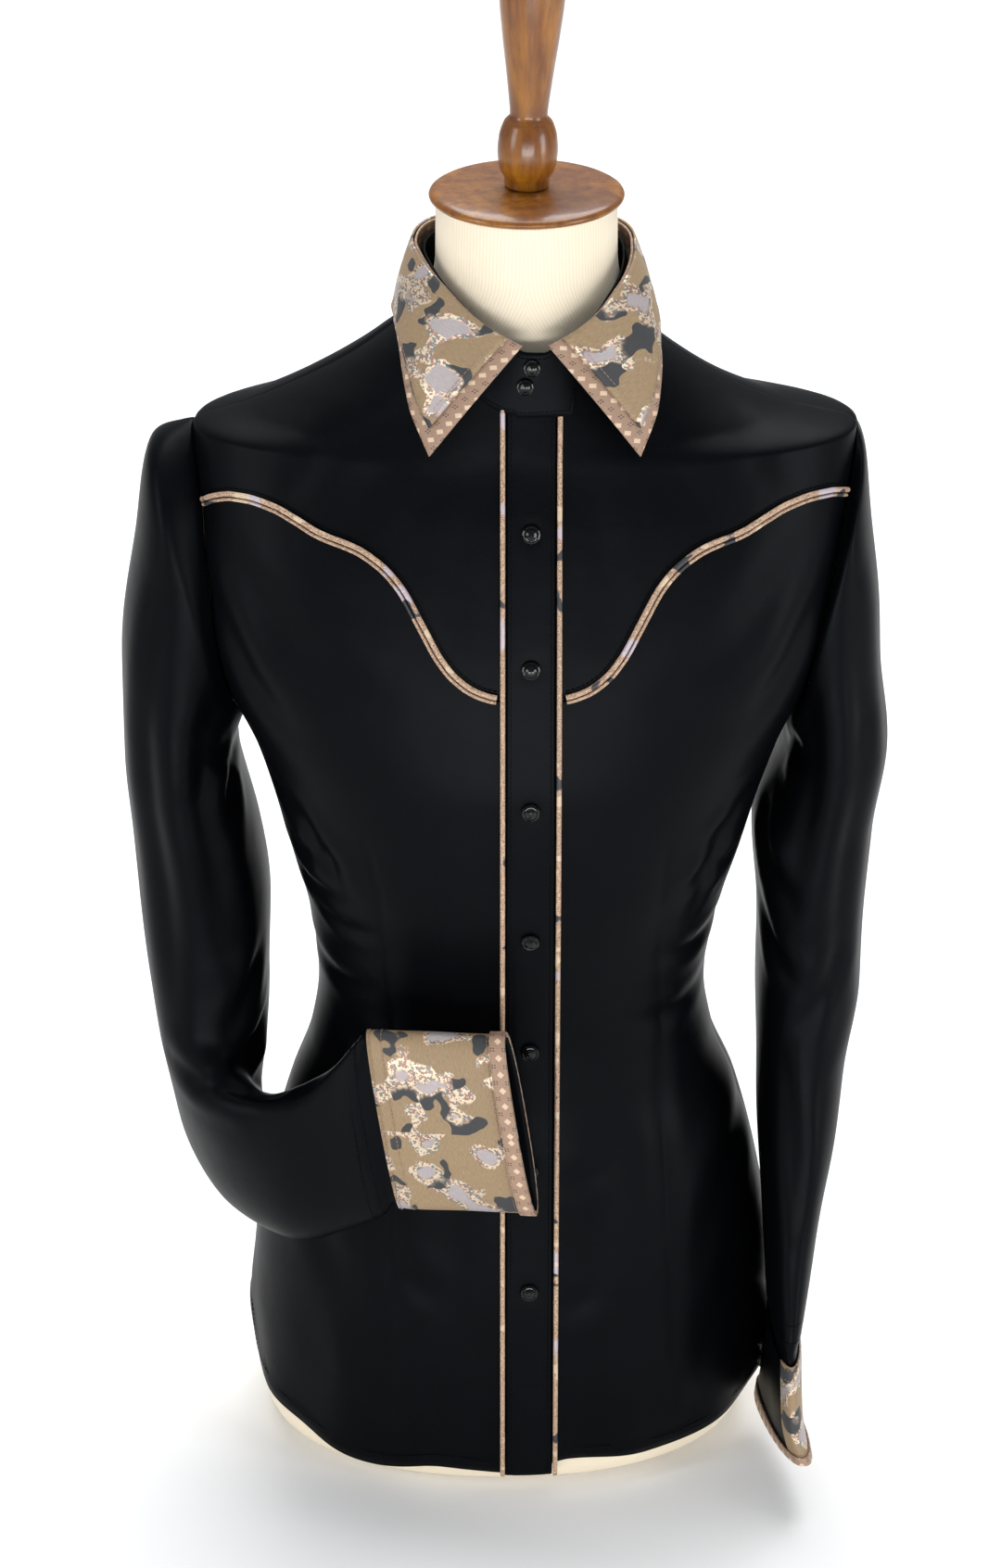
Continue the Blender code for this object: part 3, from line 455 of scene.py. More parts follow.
def nearness(points, path):
    """Distance of each point from a path, and how far along the path its nearest place is."""
    path = np.array(path, float)
    lengths = np.linalg.norm(np.diff(path, axis=0), axis=1)
    before = np.concatenate([[0], np.cumsum(lengths)])
    best, along = np.full(len(points), 9.0), np.zeros(len(points))
    for start, end, length, passed in zip(path, path[1:], lengths, before):
        share = np.clip((points - start) @ (end - start) / length ** 2, 0, 1)
        gap = np.linalg.norm(points - start - share[:, None] * (end - start), axis=1)
        nearer = gap < best
        best = np.where(nearer, gap, best)
        along = np.where(nearer, (passed + share * length) / before[-1], along)
    return best, along


def bell(gap, width):
    return np.exp(-(gap / width) ** 2)


def crease(points, path, depth, width):
    """A soft trough with low ridges beside it, fading at both ends. A negative depth is a ridge."""
    gap, along = nearness(points, path)
    fade = np.sin(np.pi * np.clip(0.06 + 0.88 * along, 0, 1)) ** 0.8
    return -depth * fade * (bell(gap, width) - 0.42 * bell(gap - 2.1 * width, 1.1 * width))


def groove(points, path, depth, width):
    """A narrow sewn line of even depth."""
    return -depth * bell(nearness(points, path)[0], width)


def hem_relief(angle, height):
    """The turned hem's thickness and the line that its stitches pull in."""
    above_hem = (height - hem_height(angle)).ravel()
    return (0.0004 * np.clip((HEM_TURN_UP - above_hem) / 0.001, 0, 1)
            - 0.0005 * bell(above_hem - (HEM_TURN_UP - 0.0003), 0.0009))


def slack(points, amount, scale, seed):
    """Broad unevenness from a few slow waves."""
    draw = np.random.default_rng(seed)
    total = np.zeros(len(points))
    for _ in range(6):
        direction = unit(draw.normal(size=3)) / scale * draw.uniform(0.5, 1.5)
        total += np.sin(points @ direction * 2 * math.pi + draw.uniform(0, 2 * math.pi))
    return amount * total / 3


# ---------------------------------------------------------------- making pieces


def add_piece(name, mesh, finish, replaced=()):
    made = bpy.data.objects.new(name, mesh)
    mesh.materials.append(FINISHES[finish])
    bpy.context.scene.collection.objects.link(made)
    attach(made, "root")
    if replaced:
        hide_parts(*replaced)
    return made


def drawn_mesh(name, shape, smooth=True):
    mesh = bpy.data.meshes.new(name)
    shape.to_mesh(mesh)
    shape.free()
    mesh.shade_smooth() if smooth else mesh.shade_flat()
    return mesh


def laid_mesh(name, points, flat=None, closed=False):
    """A grid whose corners lie at points[row, column]; flat holds its cloth coordinates in metres."""
    rows, columns = points.shape[0] - 1, points.shape[1] - 1
    shape = bmesh.new()
    bmesh.ops.create_grid(shape, x_segments=columns, y_segments=rows, size=0.5)
    mesh = drawn_mesh(name, shape)
    place = np.empty(len(mesh.vertices) * 3)
    mesh.vertices.foreach_get("co", place)
    place = place.reshape(-1, 3)
    column = np.rint((place[:, 0] + 0.5) * columns).astype(int)
    row = np.rint((place[:, 1] + 0.5) * rows).astype(int)
    mesh.vertices.foreach_set("co", points[row, column].ravel())
    if flat is not None:
        corner = np.empty(len(mesh.loops), int)
        mesh.loops.foreach_get("vertex_index", corner)
        layer = mesh.uv_layers.new(name="cloth")
        layer.data.foreach_set("uv", flat[row[corner], column[corner]].ravel())
    if closed:
        shape = bmesh.new()
        shape.from_mesh(mesh)
        bmesh.ops.remove_doubles(shape, verts=shape.verts, dist=1e-6)
        shape.to_mesh(mesh)
        shape.free()
        mesh.shade_smooth()
    mesh.update()
    return mesh


def cloth_coordinates(points):
    """Lengths along the cloth from its middle column and first row."""
    across = np.linalg.norm(np.diff(points, axis=1), axis=2)
    across = np.concatenate([np.zeros((len(points), 1)), np.cumsum(across, axis=1)], axis=1)
    across -= across[:, points.shape[1] // 2][:, None]
    down = np.linalg.norm(np.diff(points, axis=0), axis=2)
    down = np.concatenate([np.zeros((1, points.shape[1])), np.cumsum(down, axis=0)], axis=0)
    return np.stack([across, down], -1)


def pushed(points, amounts):
    """Grid points moved along the surface's normal."""
    along = np.gradient(points, axis=1)
    up = np.gradient(points, axis=0)
    return points + unit(np.cross(along, up)) * amounts.reshape(points.shape[:2])[..., None]


def cloth(name, points, finish, replaced, wall=SATIN, amounts=None, closed=False, lining=None):
    """A thin shell of cloth, creased by amounts, with its outer face on the points."""
    if amounts is not None:
        if closed:
            wide = np.concatenate([points[:, -3:-1], points, points[:, 1:3]], axis=1)
            lift = amounts.reshape(points.shape[:2])
            lift = np.concatenate([lift[:, -3:-1], lift, lift[:, 1:3]], axis=1)
            points = pushed(wide, lift)[:, 2:-2]
            points[:, -1] = points[:, 0]
        else:
            points = pushed(points, amounts)
    made = add_piece(name, laid_mesh(name, points, cloth_coordinates(points), closed),
                     finish, replaced)
    thicken = made.modifiers.new("wall", "SOLIDIFY")
    thicken.thickness = wall
    thicken.offset = -1
    if lining:
        made.data.materials.append(FINISHES[lining])
        thicken.material_offset = 1
    return made


def faced(piece, finish, start, end):
    """Gives a stretch of a tube, measured across from its middle, another finish."""
    piece.data.materials.append(FINISHES[finish])
    flat = piece.data.uv_layers[0].data
    for face in piece.data.polygons:
        across = [flat[corner].uv[0] for corner in face.loop_indices]
        face.material_index = int(start < min(across) and max(across) < end)


def cord(name, points, radius, finish, replaced=()):
    """A round cord along a path, its ends closed."""
    points = np.array(points)
    line = bpy.data.curves.new(name, "CURVE")
    line.dimensions = "3D"
    line.bevel_depth = radius
    line.bevel_resolution = 3
    line.use_fill_caps = True
    run = line.splines.new("POLY")
    run.points.add(len(points) - 1)
    run.points.foreach_set("co", np.column_stack([points, np.ones(len(points))]).ravel())
    holder = bpy.data.objects.new(name, line)
    mesh = bpy.data.meshes.new_from_object(holder)
    bpy.data.objects.remove(holder)
    mesh.shade_smooth()
    return add_piece(name, mesh, finish, replaced)


def resampled(path, spacing):
    """Evenly spaced places on a path, and the path's direction at each."""
    path = np.array(path)
    passed = np.concatenate([[0], np.cumsum(np.linalg.norm(np.diff(path, axis=0), axis=1))])
    at = np.arange(spacing / 2, passed[-1], spacing)
    places = np.stack([np.interp(at, passed, path[:, axis]) for axis in range(3)], -1)
    ahead = np.stack([np.interp(at + spacing / 4, passed, path[:, axis]) for axis in range(3)], -1)
    behind = np.stack([np.interp(at - spacing / 4, passed, path[:, axis]) for axis in range(3)], -1)
    return places, unit(ahead - behind)


def stitching(name, paths, finish="black_satin", spacing=0.0030, length=0.0021, thread=0.00042):
    """Rows of single stitches. Each path is (points, outward directions)."""
    shape = bmesh.new()
    for points, outward in paths:
        places, ahead = resampled(points, spacing)
        index = np.linspace(0, len(outward) - 1, len(places)).astype(int)
        for place, along, out in zip(places, ahead, np.array(outward)[index]):
            across = np.cross(out, along)
            turn = Matrix((along * length, across * thread, out * thread)).transposed().to_4x4()
            turn.translation = Vector(place + out * thread * 0.35)
            bmesh.ops.create_cube(shape, size=1, matrix=turn)
    return add_piece(name, drawn_mesh(name, shape), finish)


def turned(name, profile, steps, finish, replaced=(), place=None, smooth=True):
    """A profile of (radius, height) pairs, turned round the Z axis and put in place."""
    shape = bmesh.new()
    corners = [shape.verts.new((radius, 0, height)) for radius, height in profile]
    edges = [shape.edges.new(pair) for pair in zip(corners, corners[1:])]
    bmesh.ops.spin(shape, geom=corners + edges, axis=(0, 0, 1), cent=(0, 0, 0), steps=steps,
                   angle=2 * math.pi, use_merge=True)
    bmesh.ops.remove_doubles(shape, verts=shape.verts, dist=1e-6)
    bmesh.ops.recalc_face_normals(shape, faces=shape.faces)
    if place is not None:
        bmesh.ops.transform(shape, matrix=place, verts=shape.verts)
    return add_piece(name, drawn_mesh(name, shape, smooth), finish, replaced)


# ---------------------------------------------------------------- the torso's panels


def on_front(x, z):
    return on_torso(front_angle(np.float64(x), np.float64(z)), np.float64(z))


def on_fronts(path):
    return [on_front(x, z) for x, z in path]


# Folds of the fronts. depth, half width, then x and height along the fold
FRONT_FOLDS = {
    -1: (
        (0.0016, 0.0050, ((-0.122, 0.404), (-0.112, 0.4115), (-0.100, 0.409))),
        (0.0013, 0.0045, ((-0.114, 0.372), (-0.098, 0.366), (-0.078, 0.369))),
        (0.0022, 0.0060, ((-0.134, 0.442), (-0.121, 0.432), (-0.108, 0.414), (-0.101, 0.398))),
        (0.0012, 0.0060, ((-0.128, 0.392), (-0.112, 0.383), (-0.094, 0.386))),
        (0.0010, 0.0055, ((-0.117, 0.330), (-0.100, 0.322), (-0.082, 0.326))),
        (0.0010, 0.0070, ((-0.095, 0.286), (-0.070, 0.279), (-0.044, 0.283))),
        (0.0009, 0.0080, ((-0.069, 0.158), (-0.056, 0.141), (-0.044, 0.134))),
        (0.0012, 0.0100, ((-0.140, 0.205), (-0.118, 0.176), (-0.102, 0.132))),
        (0.0010, 0.0120, ((-0.040, 0.240), (-0.034, 0.190), (-0.036, 0.110))),
        (0.0014, 0.0090, ((-0.166, 0.560), (-0.148, 0.520), (-0.126, 0.492))),
        (0.0010, 0.0110, ((-0.158, 0.590), (-0.120, 0.545), (-0.078, 0.520))),
        (-0.0010, 0.0120, ((-0.105, 0.115), (-0.100, 0.070), (-0.104, 0.030))),
        (0.0010, 0.0100, ((-0.052, 0.090), (-0.047, 0.055), (-0.050, 0.018))),
    ),
    1: (
        (0.0016, 0.0050, ((0.1085, 0.422), (0.118, 0.428), (0.131, 0.424))),
        (0.0014, 0.0050, ((0.097, 0.394), (0.108, 0.402), (0.123, 0.400))),
        (0.0018, 0.0060, ((0.143, 0.452), (0.127, 0.437), (0.112, 0.409), (0.104, 0.380))),
        (0.0010, 0.0060, ((0.120, 0.352), (0.104, 0.345), (0.084, 0.350))),
        (0.0009, 0.0060, ((0.112, 0.310), (0.090, 0.301), (0.062, 0.305))),
        (0.0009, 0.0070, ((0.0526, 0.2165), (0.042, 0.212), (0.0305, 0.2105))),
        (0.0009, 0.0080, ((0.0456, 0.140), (0.038, 0.132), (0.029, 0.133))),
        (0.0012, 0.0100, ((0.142, 0.216), (0.124, 0.190), (0.112, 0.140))),
        (0.0010, 0.0130, ((0.058, 0.250), (0.050, 0.190), (0.052, 0.120))),
        (0.0014, 0.0090, ((0.172, 0.570), (0.154, 0.528), (0.134, 0.498))),
        (0.0010, 0.0110, ((0.160, 0.598), (0.126, 0.552), (0.086, 0.522))),
        (-0.0010, 0.0120, ((0.070, 0.100), (0.066, 0.060), (0.071, 0.030))),
        (0.0010, 0.0110, ((0.118, 0.110), (0.112, 0.070), (0.115, 0.036))),
    ),
}
DARTS = {
    -1: ((-0.083, 0.430), (-0.075, 0.395), (-0.072, 0.340), (-0.069, 0.300), (-0.070, 0.240),
         (-0.071, 0.180), (-0.0725, 0.120), (-0.074, 0.016)),
    1: ((0.086, 0.430), (0.084, 0.395), (0.084, 0.340), (0.087, 0.300), (0.089, 0.224),
        (0.091, 0.177), (0.095, 0.119), (0.096, 0.060)),
}
YOKE_FOLDS = {
    -1: (
        (0.0007, 0.0090, ((-0.060, 0.668), (-0.075, 0.640), (-0.088, 0.610))),
        (0.0006, 0.0080, ((-0.100, 0.664), (-0.116, 0.640), (-0.128, 0.622))),
        (0.0006, 0.0080, ((-0.024, 0.640), (-0.030, 0.600), (-0.028, 0.555))),
    ),
    1: (
        (0.0007, 0.0090, ((0.074, 0.668), (0.088, 0.642), (0.100, 0.614))),
        (0.0006, 0.0080, ((0.122, 0.664), (0.136, 0.640), (0.146, 0.624))),
        (0.0007, 0.0080, ((0.044, 0.640), (0.050, 0.600), (0.047, 0.560))),
    ),
}
BACK_FOLDS = (
    (0.0016, 0.0110, ((-0.120, 0.070, 0.330), (-0.070, 0.080, 0.318), (-0.020, 0.084, 0.322))),
    (0.0014, 0.0110, ((0.020, 0.084, 0.305), (0.070, 0.080, 0.298), (0.110, 0.060, 0.306))),
    (0.0012, 0.0090, ((-0.100, 0.070, 0.285), (-0.050, 0.080, 0.272), (0.010, 0.084, 0.276))),
    (0.0015, 0.0100, ((-0.150, 0.060, 0.520), (-0.120, 0.082, 0.480), (-0.105, 0.085, 0.430))),
    (0.0015, 0.0100, ((0.155, 0.060, 0.530), (0.125, 0.082, 0.486), (0.112, 0.085, 0.436))),
    (0.0010, 0.0140, ((-0.060, 0.100, 0.180), (-0.064, 0.108, 0.120), (-0.058, 0.112, 0.050))),
    (0.0010, 0.0140, ((0.070, 0.100, 0.190), (0.066, 0.108, 0.120), (0.074, 0.110, 0.050))),
)


def build_fronts():
    for side, label in ((-1, "right"), (1, "left")):
        share = np.linspace(0, 1, 91)[None, :]
        share = share if side > 0 else 1 - share
        stations = np.stack(front_at(side, share, np.array(FRONT_ROWS)[:, None]), -1)
        angle, height = np.moveaxis(
            through(stations, np.linspace(0, len(FRONT_ROWS) - 1, 170)), -1, 0)
        points = on_torso(angle, height)
        flat = points.reshape(-1, 3)
        lift = slack(flat, 0.00045, 0.13, 11 + side)
        for depth, width, path in FRONT_FOLDS[side]:
            lift += crease(flat, on_fronts(path), FRONT_FOLD_GAIN * depth, width)
        dart = on_fronts(DARTS[side])
        lift += groove(flat, dart, 0.0007, 0.0011) + crease(flat, dart, 0.0007, 0.0065)
        lift += hem_relief(angle, height)
        above_hem = (height - hem_height(angle)).ravel()
        lift += 0.0010 * np.clip(1 - above_hem / 0.05, 0, 1) * np.sin(angle.ravel() * 15 + side)
        edge_gap = (1 - share + 0 * height).ravel() * 0.16
        lift = np.maximum(lift - 0.0004 * bell(edge_gap, 0.003), -FRONT_SINK_LIMIT)
        made = cloth("front_panel_" + label, points, "black_satin", ["front_" + label],
                     amounts=lift)

        row = np.linspace(0, 9, 90)[:, None] + 0 * share
        angle, height = yoke_at(side, share + 0 * row, row)
        points = on_torso(angle, height)
        flat = points.reshape(-1, 3)
        lift = slack(flat, 0.00035, 0.10, 21 + side)
        for depth, width, path in YOKE_FOLDS[side]:
            lift += crease(flat, on_fronts(path), depth, width)
        made = cloth("yoke_panel_" + label, points, "black_satin", ["yoke_" + label], amounts=lift)


def yoke_seam(side, columns=120):
    band_edge = PLACKET_HALF + 2 * PIPING_RADIUS + 6 * SEAM_GAP
    share = np.linspace(0, 1, columns)
    angle, height = front_at(side, share, np.full(columns, YOKE_AT_ARMHOLE))
    across = np.abs(torso_section(angle, height)[..., 0] - PLACKET_CENTRE)
    angle, height = angle[across > band_edge], height[across > band_edge]
    return angle[:-4], height[:-4]


def beside_seam(side, out, sideways):
    """A path along the yoke seam, moved out and across it."""
    angle, height = yoke_seam(side)
    points, normal = on_torso(angle, height), torso_normal(angle, height)
    ahead = unit(np.gradient(points, axis=0))
    upward = np.cross(normal, ahead) * side
    return points + normal * out + upward * sideways, normal


def build_yoke_piping():
    rows = []
    for side, label in ((-1, "right"), (1, "left")):
        for name, radius, sideways in (("yoke_cord_", 0.0015, 0.0015),
                                       ("yoke_edge_", 0.0010, -0.0015)):
            path, _ = beside_seam(side, radius + 0.0004, sideways)
            cord("bias_" + name + label, path, radius, "piping_brocade", [name + label])
        rows.append(beside_seam(side, 0.0004, 0.0046))
    stitching("yoke_stitching", rows)


def build_back():
    side_top = float(neckline_at(math.pi / 2)[1])
    rows = list(np.linspace(HEM_AT_SIDE, UNDERARM_HEIGHT, 8)[:-1])
    rows += armhole_heights(UNDERARM_HEIGHT, SHOULDER_HEIGHT)
    rows += [SHOULDER_HEIGHT + (side_top - SHOULDER_HEIGHT) * share for share in (.2, .43, .67, 1)]
    row = refined(rows, 170)[:, None]
    share = np.linspace(0, 1, 131)[None, :]
    row, share = np.broadcast_arrays(row, share)
    angle, height = back_at(share, row)
    points = on_torso(angle, height)
    flat = points.reshape(-1, 3)
    lift = slack(flat, 0.0005, 0.15, 31)
    for depth, width, path in BACK_FOLDS:
        lift += crease(flat, path, depth, width)
    lift += hem_relief(signed(angle), height)
    edge_gap = np.minimum(share, 1 - share).ravel() * 0.30
    lift = np.maximum(lift, -BACK_SINK_LIMIT) - 0.0011 * bell(edge_gap, 0.004)
    made = cloth("back_panel", points, "black_satin", ["back"], amounts=lift)


def build_hem_stitching():
    rows = []
    for start, end in ((-1.45, -0.05), (0.24, 1.45), (1.68, 4.60)):
        angle = np.linspace(start, end, 220)
        height = hem_height(signed(angle)) + HEM_STITCH_LINE
        rows.append((on_torso(angle, height, 0.0002), torso_normal(angle, height)))
    stitching("hem_stitching", rows)


# ---------------------------------------------------------------- the band


def build_band():
    foot = float(hem_height(np.float64(0.0)))
    top = float(neckline_at(BAND_TURN)[1]) - 2 * SEAM_GAP
    height = np.linspace(foot, top, 260)[:, None]
    across = np.linspace(-1, 1, 19)[None, :]
    height, across = np.broadcast_arrays(height, across)
    x = PLACKET_CENTRE + across * PLACKET_HALF
    points = on_torso(front_angle(x, height), height, BAND_LIFT)
    flat = points.reshape(-1, 3)
    lift = slack(flat, 0.0004, 0.06, 41)
    rolled = np.clip((np.abs(across) - 0.90) / 0.10, 0, 1).ravel()
    lift -= 0.0006 * rolled ** 2
    lift -= 0.00030 * bell(np.abs(across).ravel() - STITCHED_SHARE, 0.05)
    for level in BUTTON_HEIGHTS:
        gap = np.hypot(flat[:, 0] - PLACKET_CENTRE, flat[:, 2] - level)
        lift -= 0.0005 * bell(gap, 0.006)
    band = cloth("button_band", points, "black_satin", ["placket"], amounts=lift)
    level = np.linspace(foot, top, 260)
    rows = []
    for side, label in ((-1, "right"), (1, "left")):
        x = PLACKET_CENTRE + side * (PLACKET_HALF + SEAM_GAP + PIPING_RADIUS)
        out = PIPING_RADIUS + 2 * SEAM_GAP
        cord("bias_piping_" + label, on_torso(front_angle(x, level), level, out), PIPING_RADIUS,
             "piping_brocade", ["placket_piping_" + label])
        x = PLACKET_CENTRE + side * PLACKET_HALF * STITCHED_SHARE
        angle = front_angle(x, level)
        rows.append((on_torso(angle, level, BAND_LIFT - 0.0001), torso_normal(angle, level)))
    stitching("band_stitching", rows)


# ---------------------------------------------------------------- buttons


def seat_of(node):
    """The middle of a CAD button's seat, its outward direction and its radius."""
    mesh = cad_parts[node].data
    corners = np.unique(np.round([list(vertex.co) for vertex in mesh.vertices], 7), axis=0)
    middle = (corners.max(0) + corners.min(0)) / 2
    spread = np.cov((corners - corners.mean(0)).T)
    facing = np.linalg.eigh(spread)[1][:, 0]
    depth = (corners - middle) @ facing
    reach = np.linalg.norm(corners - middle - depth[:, None] * facing, axis=1)
    rim = depth[reach > reach.max() * 0.99].mean()
    if rim > (depth.max() + depth.min()) / 2:
        facing, depth = -facing, -depth
    return middle + facing * depth.min(), facing, reach.max()


def build_buttons():
    """Faceted domes with a bevelled rim and a raised ring."""
    for node in BUTTONS:
        seat, facing, radius = seat_of(node)
        turn = Vector(facing).to_track_quat("Z", "Y").to_matrix().to_4x4()
        place = Matrix.Translation(Vector(seat)) @ turn
        profile = ((0, 0.0001), (0.90, 0.0001), (0.99, 0.0006), (1.0, 0.0012), (0.93, 0.0020),
                   (0.80, 0.0024), (0.70, 0.0021), (0.62, 0.0022), (0.55, 0.0029), (0.30, 0.0037),
                   (0, 0.0039))
        turned("domed_" + node, [(share * radius, height) for share, height in profile], 12,
               "black_button", [node], place, smooth=False)


# ---------------------------------------------------------------- collar


def collar_centre(angle):
    return COLLAR_CENTRE + COLLAR_SWAY * np.maximum(0.0, np.cos(angle))


def fold_point(angle, inset=0.0, drop=0.0):
    """The collar's fold line round the neck."""
    turn = np.abs(np.degrees(np.mod(angle + math.pi, 2 * math.pi) - math.pi))
    radius, height = np.moveaxis(smooth_columns(COLLAR, turn)[..., :2], -1, 0)
    reach = radius - inset
    return np.stack([collar_centre(angle) + reach * np.sin(angle), -reach * np.cos(angle),
                     height - drop], -1)


def leaf_point(share, fall):
    """The collar's leaf; share runs from the right front corner round the back to the left."""
    share, fall = np.broadcast_arrays(share, fall)
    side = np.where(share < 0.5, -1, 1)
    first = COLLAR[0][0]
    turn = first + (180 - first) * (1 - np.abs(2 * share - 1))
    _, _, edge_x, edge_y, edge_z = np.moveaxis(smooth_columns(COLLAR, turn), -1, 0)
    angle = side * np.radians(turn)
    fold = fold_point(angle)
    edge = np.stack([collar_centre(angle) + side * edge_x, edge_y, edge_z], -1)
    away = unit(np.stack([np.sin(angle), -np.cos(angle), 0.6 + 0 * angle], -1))
    bow = 0.0020 * np.sin(math.pi * fall)[..., None]
    return fold + (edge - fold) * fall[..., None] + away * bow


def leaf_on(share, fall, out):
    share = np.clip(share, 0.002, 0.998)
    around = leaf_point(share + 0.002, fall) - leaf_point(share - 0.002, fall)
    down = leaf_point(share, fall + 0.02) - leaf_point(share, fall - 0.02)
    return leaf_point(share, fall) + unit(np.cross(around, down)) * out


def leaf_direction(share, fall):
    return unit(leaf_on(share, fall, 1e-3) - leaf_on(share, fall, 0.0))


LEAF_INSET = 0.0215
EDGE_INSET = 0.105
UPPER_LIFT = 0.0022


def upper_leaf(share, fall, out=UPPER_LIFT):
    return leaf_on(LEAF_INSET + (1 - 2 * LEAF_INSET) * share, fall * (1 - EDGE_INSET), out)


def build_collar():
    share, fall = np.linspace(0, 1, 181)[None, :], np.linspace(0, 1, 25)[:, None]
    share, fall = np.broadcast_arrays(share, fall)
    under = leaf_on(share, fall, 0.0)
    lift = slack(under.reshape(-1, 3), 0.0002, 0.05, 51)
    lower = cloth("collar_border", under, "trim_brocade", ["collar_trim"], BROCADE, lift)

    points = upper_leaf(share, fall)
    ends = np.minimum(share, 1 - share).ravel() * 0.40
    edge = np.minimum((1 - fall).ravel() * 0.045, ends)
    lift = slack(points.reshape(-1, 3), 0.00018, 0.05, 52)
    lift -= 0.0005 * bell(edge, 0.0010) - 0.0003 * bell(edge - 0.0035, 0.002)
    upper = cloth("collar_leaf", points, "patterned_brocade", ["collar"], BROCADE, lift)

    rows = []
    run = np.linspace(0.012, 0.988, 400)
    near_edge = np.full(400, 0.955)
    rows.append((upper_leaf(run, near_edge, UPPER_LIFT), leaf_direction(run, near_edge)))
    for end in (0.010, 0.990):
        down = np.linspace(0.10, 0.95, 60)
        at = np.full(60, end)
        rows.append((upper_leaf(at, down, UPPER_LIFT), leaf_direction(at, down)))
    stitching("collar_stitching", rows, "trim_brocade", 0.0026, 0.0018, 0.00034)

    tab_angle, sweep = math.radians(27), math.radians(378)
    column = np.linspace(1, 0, 221)[None, :]
    rise = np.linspace(0, 1, 17)[:, None]
    column, rise = np.broadcast_arrays(column, rise)
    stand = stand_point(column, rise, tab_angle, sweep)
    made = cloth("neck_stand", stand, "black_satin", ["collar_stand"],
                 amounts=slack(stand.reshape(-1, 3), 0.0002, 0.04, 53))
    run = np.linspace(0.004, 0.155, 60)
    rows = []
    for level in (0.07, 0.90):
        at = np.full(60, level)
        rows.append((stand_point(run, at, tab_angle, sweep), np.tile([0, -1, 0.2], (60, 1))))
    rise_line = np.linspace(0.08, 0.86, 24)
    at = np.full(24, 0.006)
    rows.append((stand_point(at, rise_line, tab_angle, sweep), np.tile([0.3, -1, 0.2], (24, 1))))
    stitching("stand_stitching", rows, spacing=0.0024, length=0.0016)


def stand_point(column, rise, tab_angle, sweep):
    """The neck stand, from its lapped front tab round the neck and back under it."""
    angle = tab_angle - sweep * column
    lap = np.maximum(0.0, 1 - column * 6)
    lift = 0.0022 * np.minimum(1.0, lap * 1.6)
    turn = np.mod(angle + math.pi, 2 * math.pi) - math.pi
    foot_angle, foot_height = neckline_at(turn)
    level = float(neckline_at(0.0)[1]) - 0.0035
    x = torso_section(foot_angle, foot_height)[..., 0]
    lapped = (column < 0.12) & (turn > 0)
    foot_height = np.where(lapped, np.minimum(level, foot_height), foot_height - 0.0020)
    foot_angle = np.where(lapped, front_angle(x, foot_height), foot_angle)
    foot = on_torso(foot_angle, foot_height, 0.0012 + lift)
    top = fold_point(angle, 0.0046 - lift, 0.0045)
    corner = 0.010
    top[..., 2] -= np.maximum(0.0, corner - column * 0.42) ** 2 / (2 * corner) * 2.2
    return foot + (top - foot) * rise[..., None]


# ---------------------------------------------------------------- sleeves and cuffs

# Sleeve folds. depth, half width, then degrees round from the outer side and ring number
SLEEVE_FOLDS = {
    -1: (
        (0.0030, 0.0090, ((128, 0.8), (116, 2.4), (108, 4.2), (112, 6.2))),
        (0.0022, 0.0080, ((70, 1.6), (62, 3.4), (66, 5.4), (58, 7.4))),
        (0.0026, 0.0075, ((150, 1.6), (138, 2.6), (124, 3.4))),
        (0.0024, 0.0070, ((165, 2.4), (150, 3.3), (134, 4.6))),
        (0.0030, 0.0070, ((176, 7.4), (150, 8.0), (122, 8.6), (100, 9.0))),
        (0.0026, 0.0060, ((178, 8.4), (150, 8.9), (120, 9.6), (98, 10.4))),
        (0.0026, 0.0065, ((40, 8.2), (62, 8.9), (84, 9.7), (96, 10.8))),
        (0.0018, 0.0060, ((150, 6.4), (134, 7.0), (112, 7.6))),
        (0.0016, 0.0060, ((60, 10.2), (76, 11.0), (84, 12.2))),
        (0.0014, 0.0050, ((118, 10.8), (108, 11.6), (104, 12.6))),
        (0.0028, 0.0100, ((250, 1.4), (262, 3.6), (270, 6.0))),
        (0.0026, 0.0090, ((310, 2.0), (300, 4.6), (292, 7.0), (290, 9.0))),
        (0.0022, 0.0080, ((220, 7.0), (236, 8.2), (250, 9.4))),
        (-0.0016, 0.0110, ((96, 1.0), (90, 3.6), (92, 6.4))),
    ),
    1: (
        (0.0028, 0.0090, ((126, 0.8), (116, 2.2), (108, 3.8), (110, 5.6))),
        (0.0022, 0.0080, ((72, 1.4), (64, 3.2), (68, 5.2), (62, 7.4))),
        (0.0024, 0.0075, ((152, 1.7), (140, 2.6), (126, 3.3))),
        (0.0024, 0.0065, ((165, 4.6), (138, 5.2), (112, 5.6))),
        (0.0020, 0.0060, ((158, 5.8), (130, 6.4), (104, 6.7))),
        (0.0016, 0.0060, ((60, 6.2), (84, 6.8), (104, 7.4))),
        (0.0016, 0.0060, ((120, 7.6), (104, 8.6), (98, 9.6))),
        (0.0026, 0.0100, ((250, 1.4), (262, 3.6), (268, 6.4))),
        (0.0024, 0.0090, ((312, 2.0), (300, 4.6), (296, 7.4))),
        (-0.0014, 0.0110, ((94, 1.0), (90, 3.4), (92, 5.8))),
    ),
}


def sleeve_points(side, rings, around, rows):
    stations = np.concatenate([armhole_ring(side, around)[None], ring_points(side, rings, around)])
    return through(stations, rows)


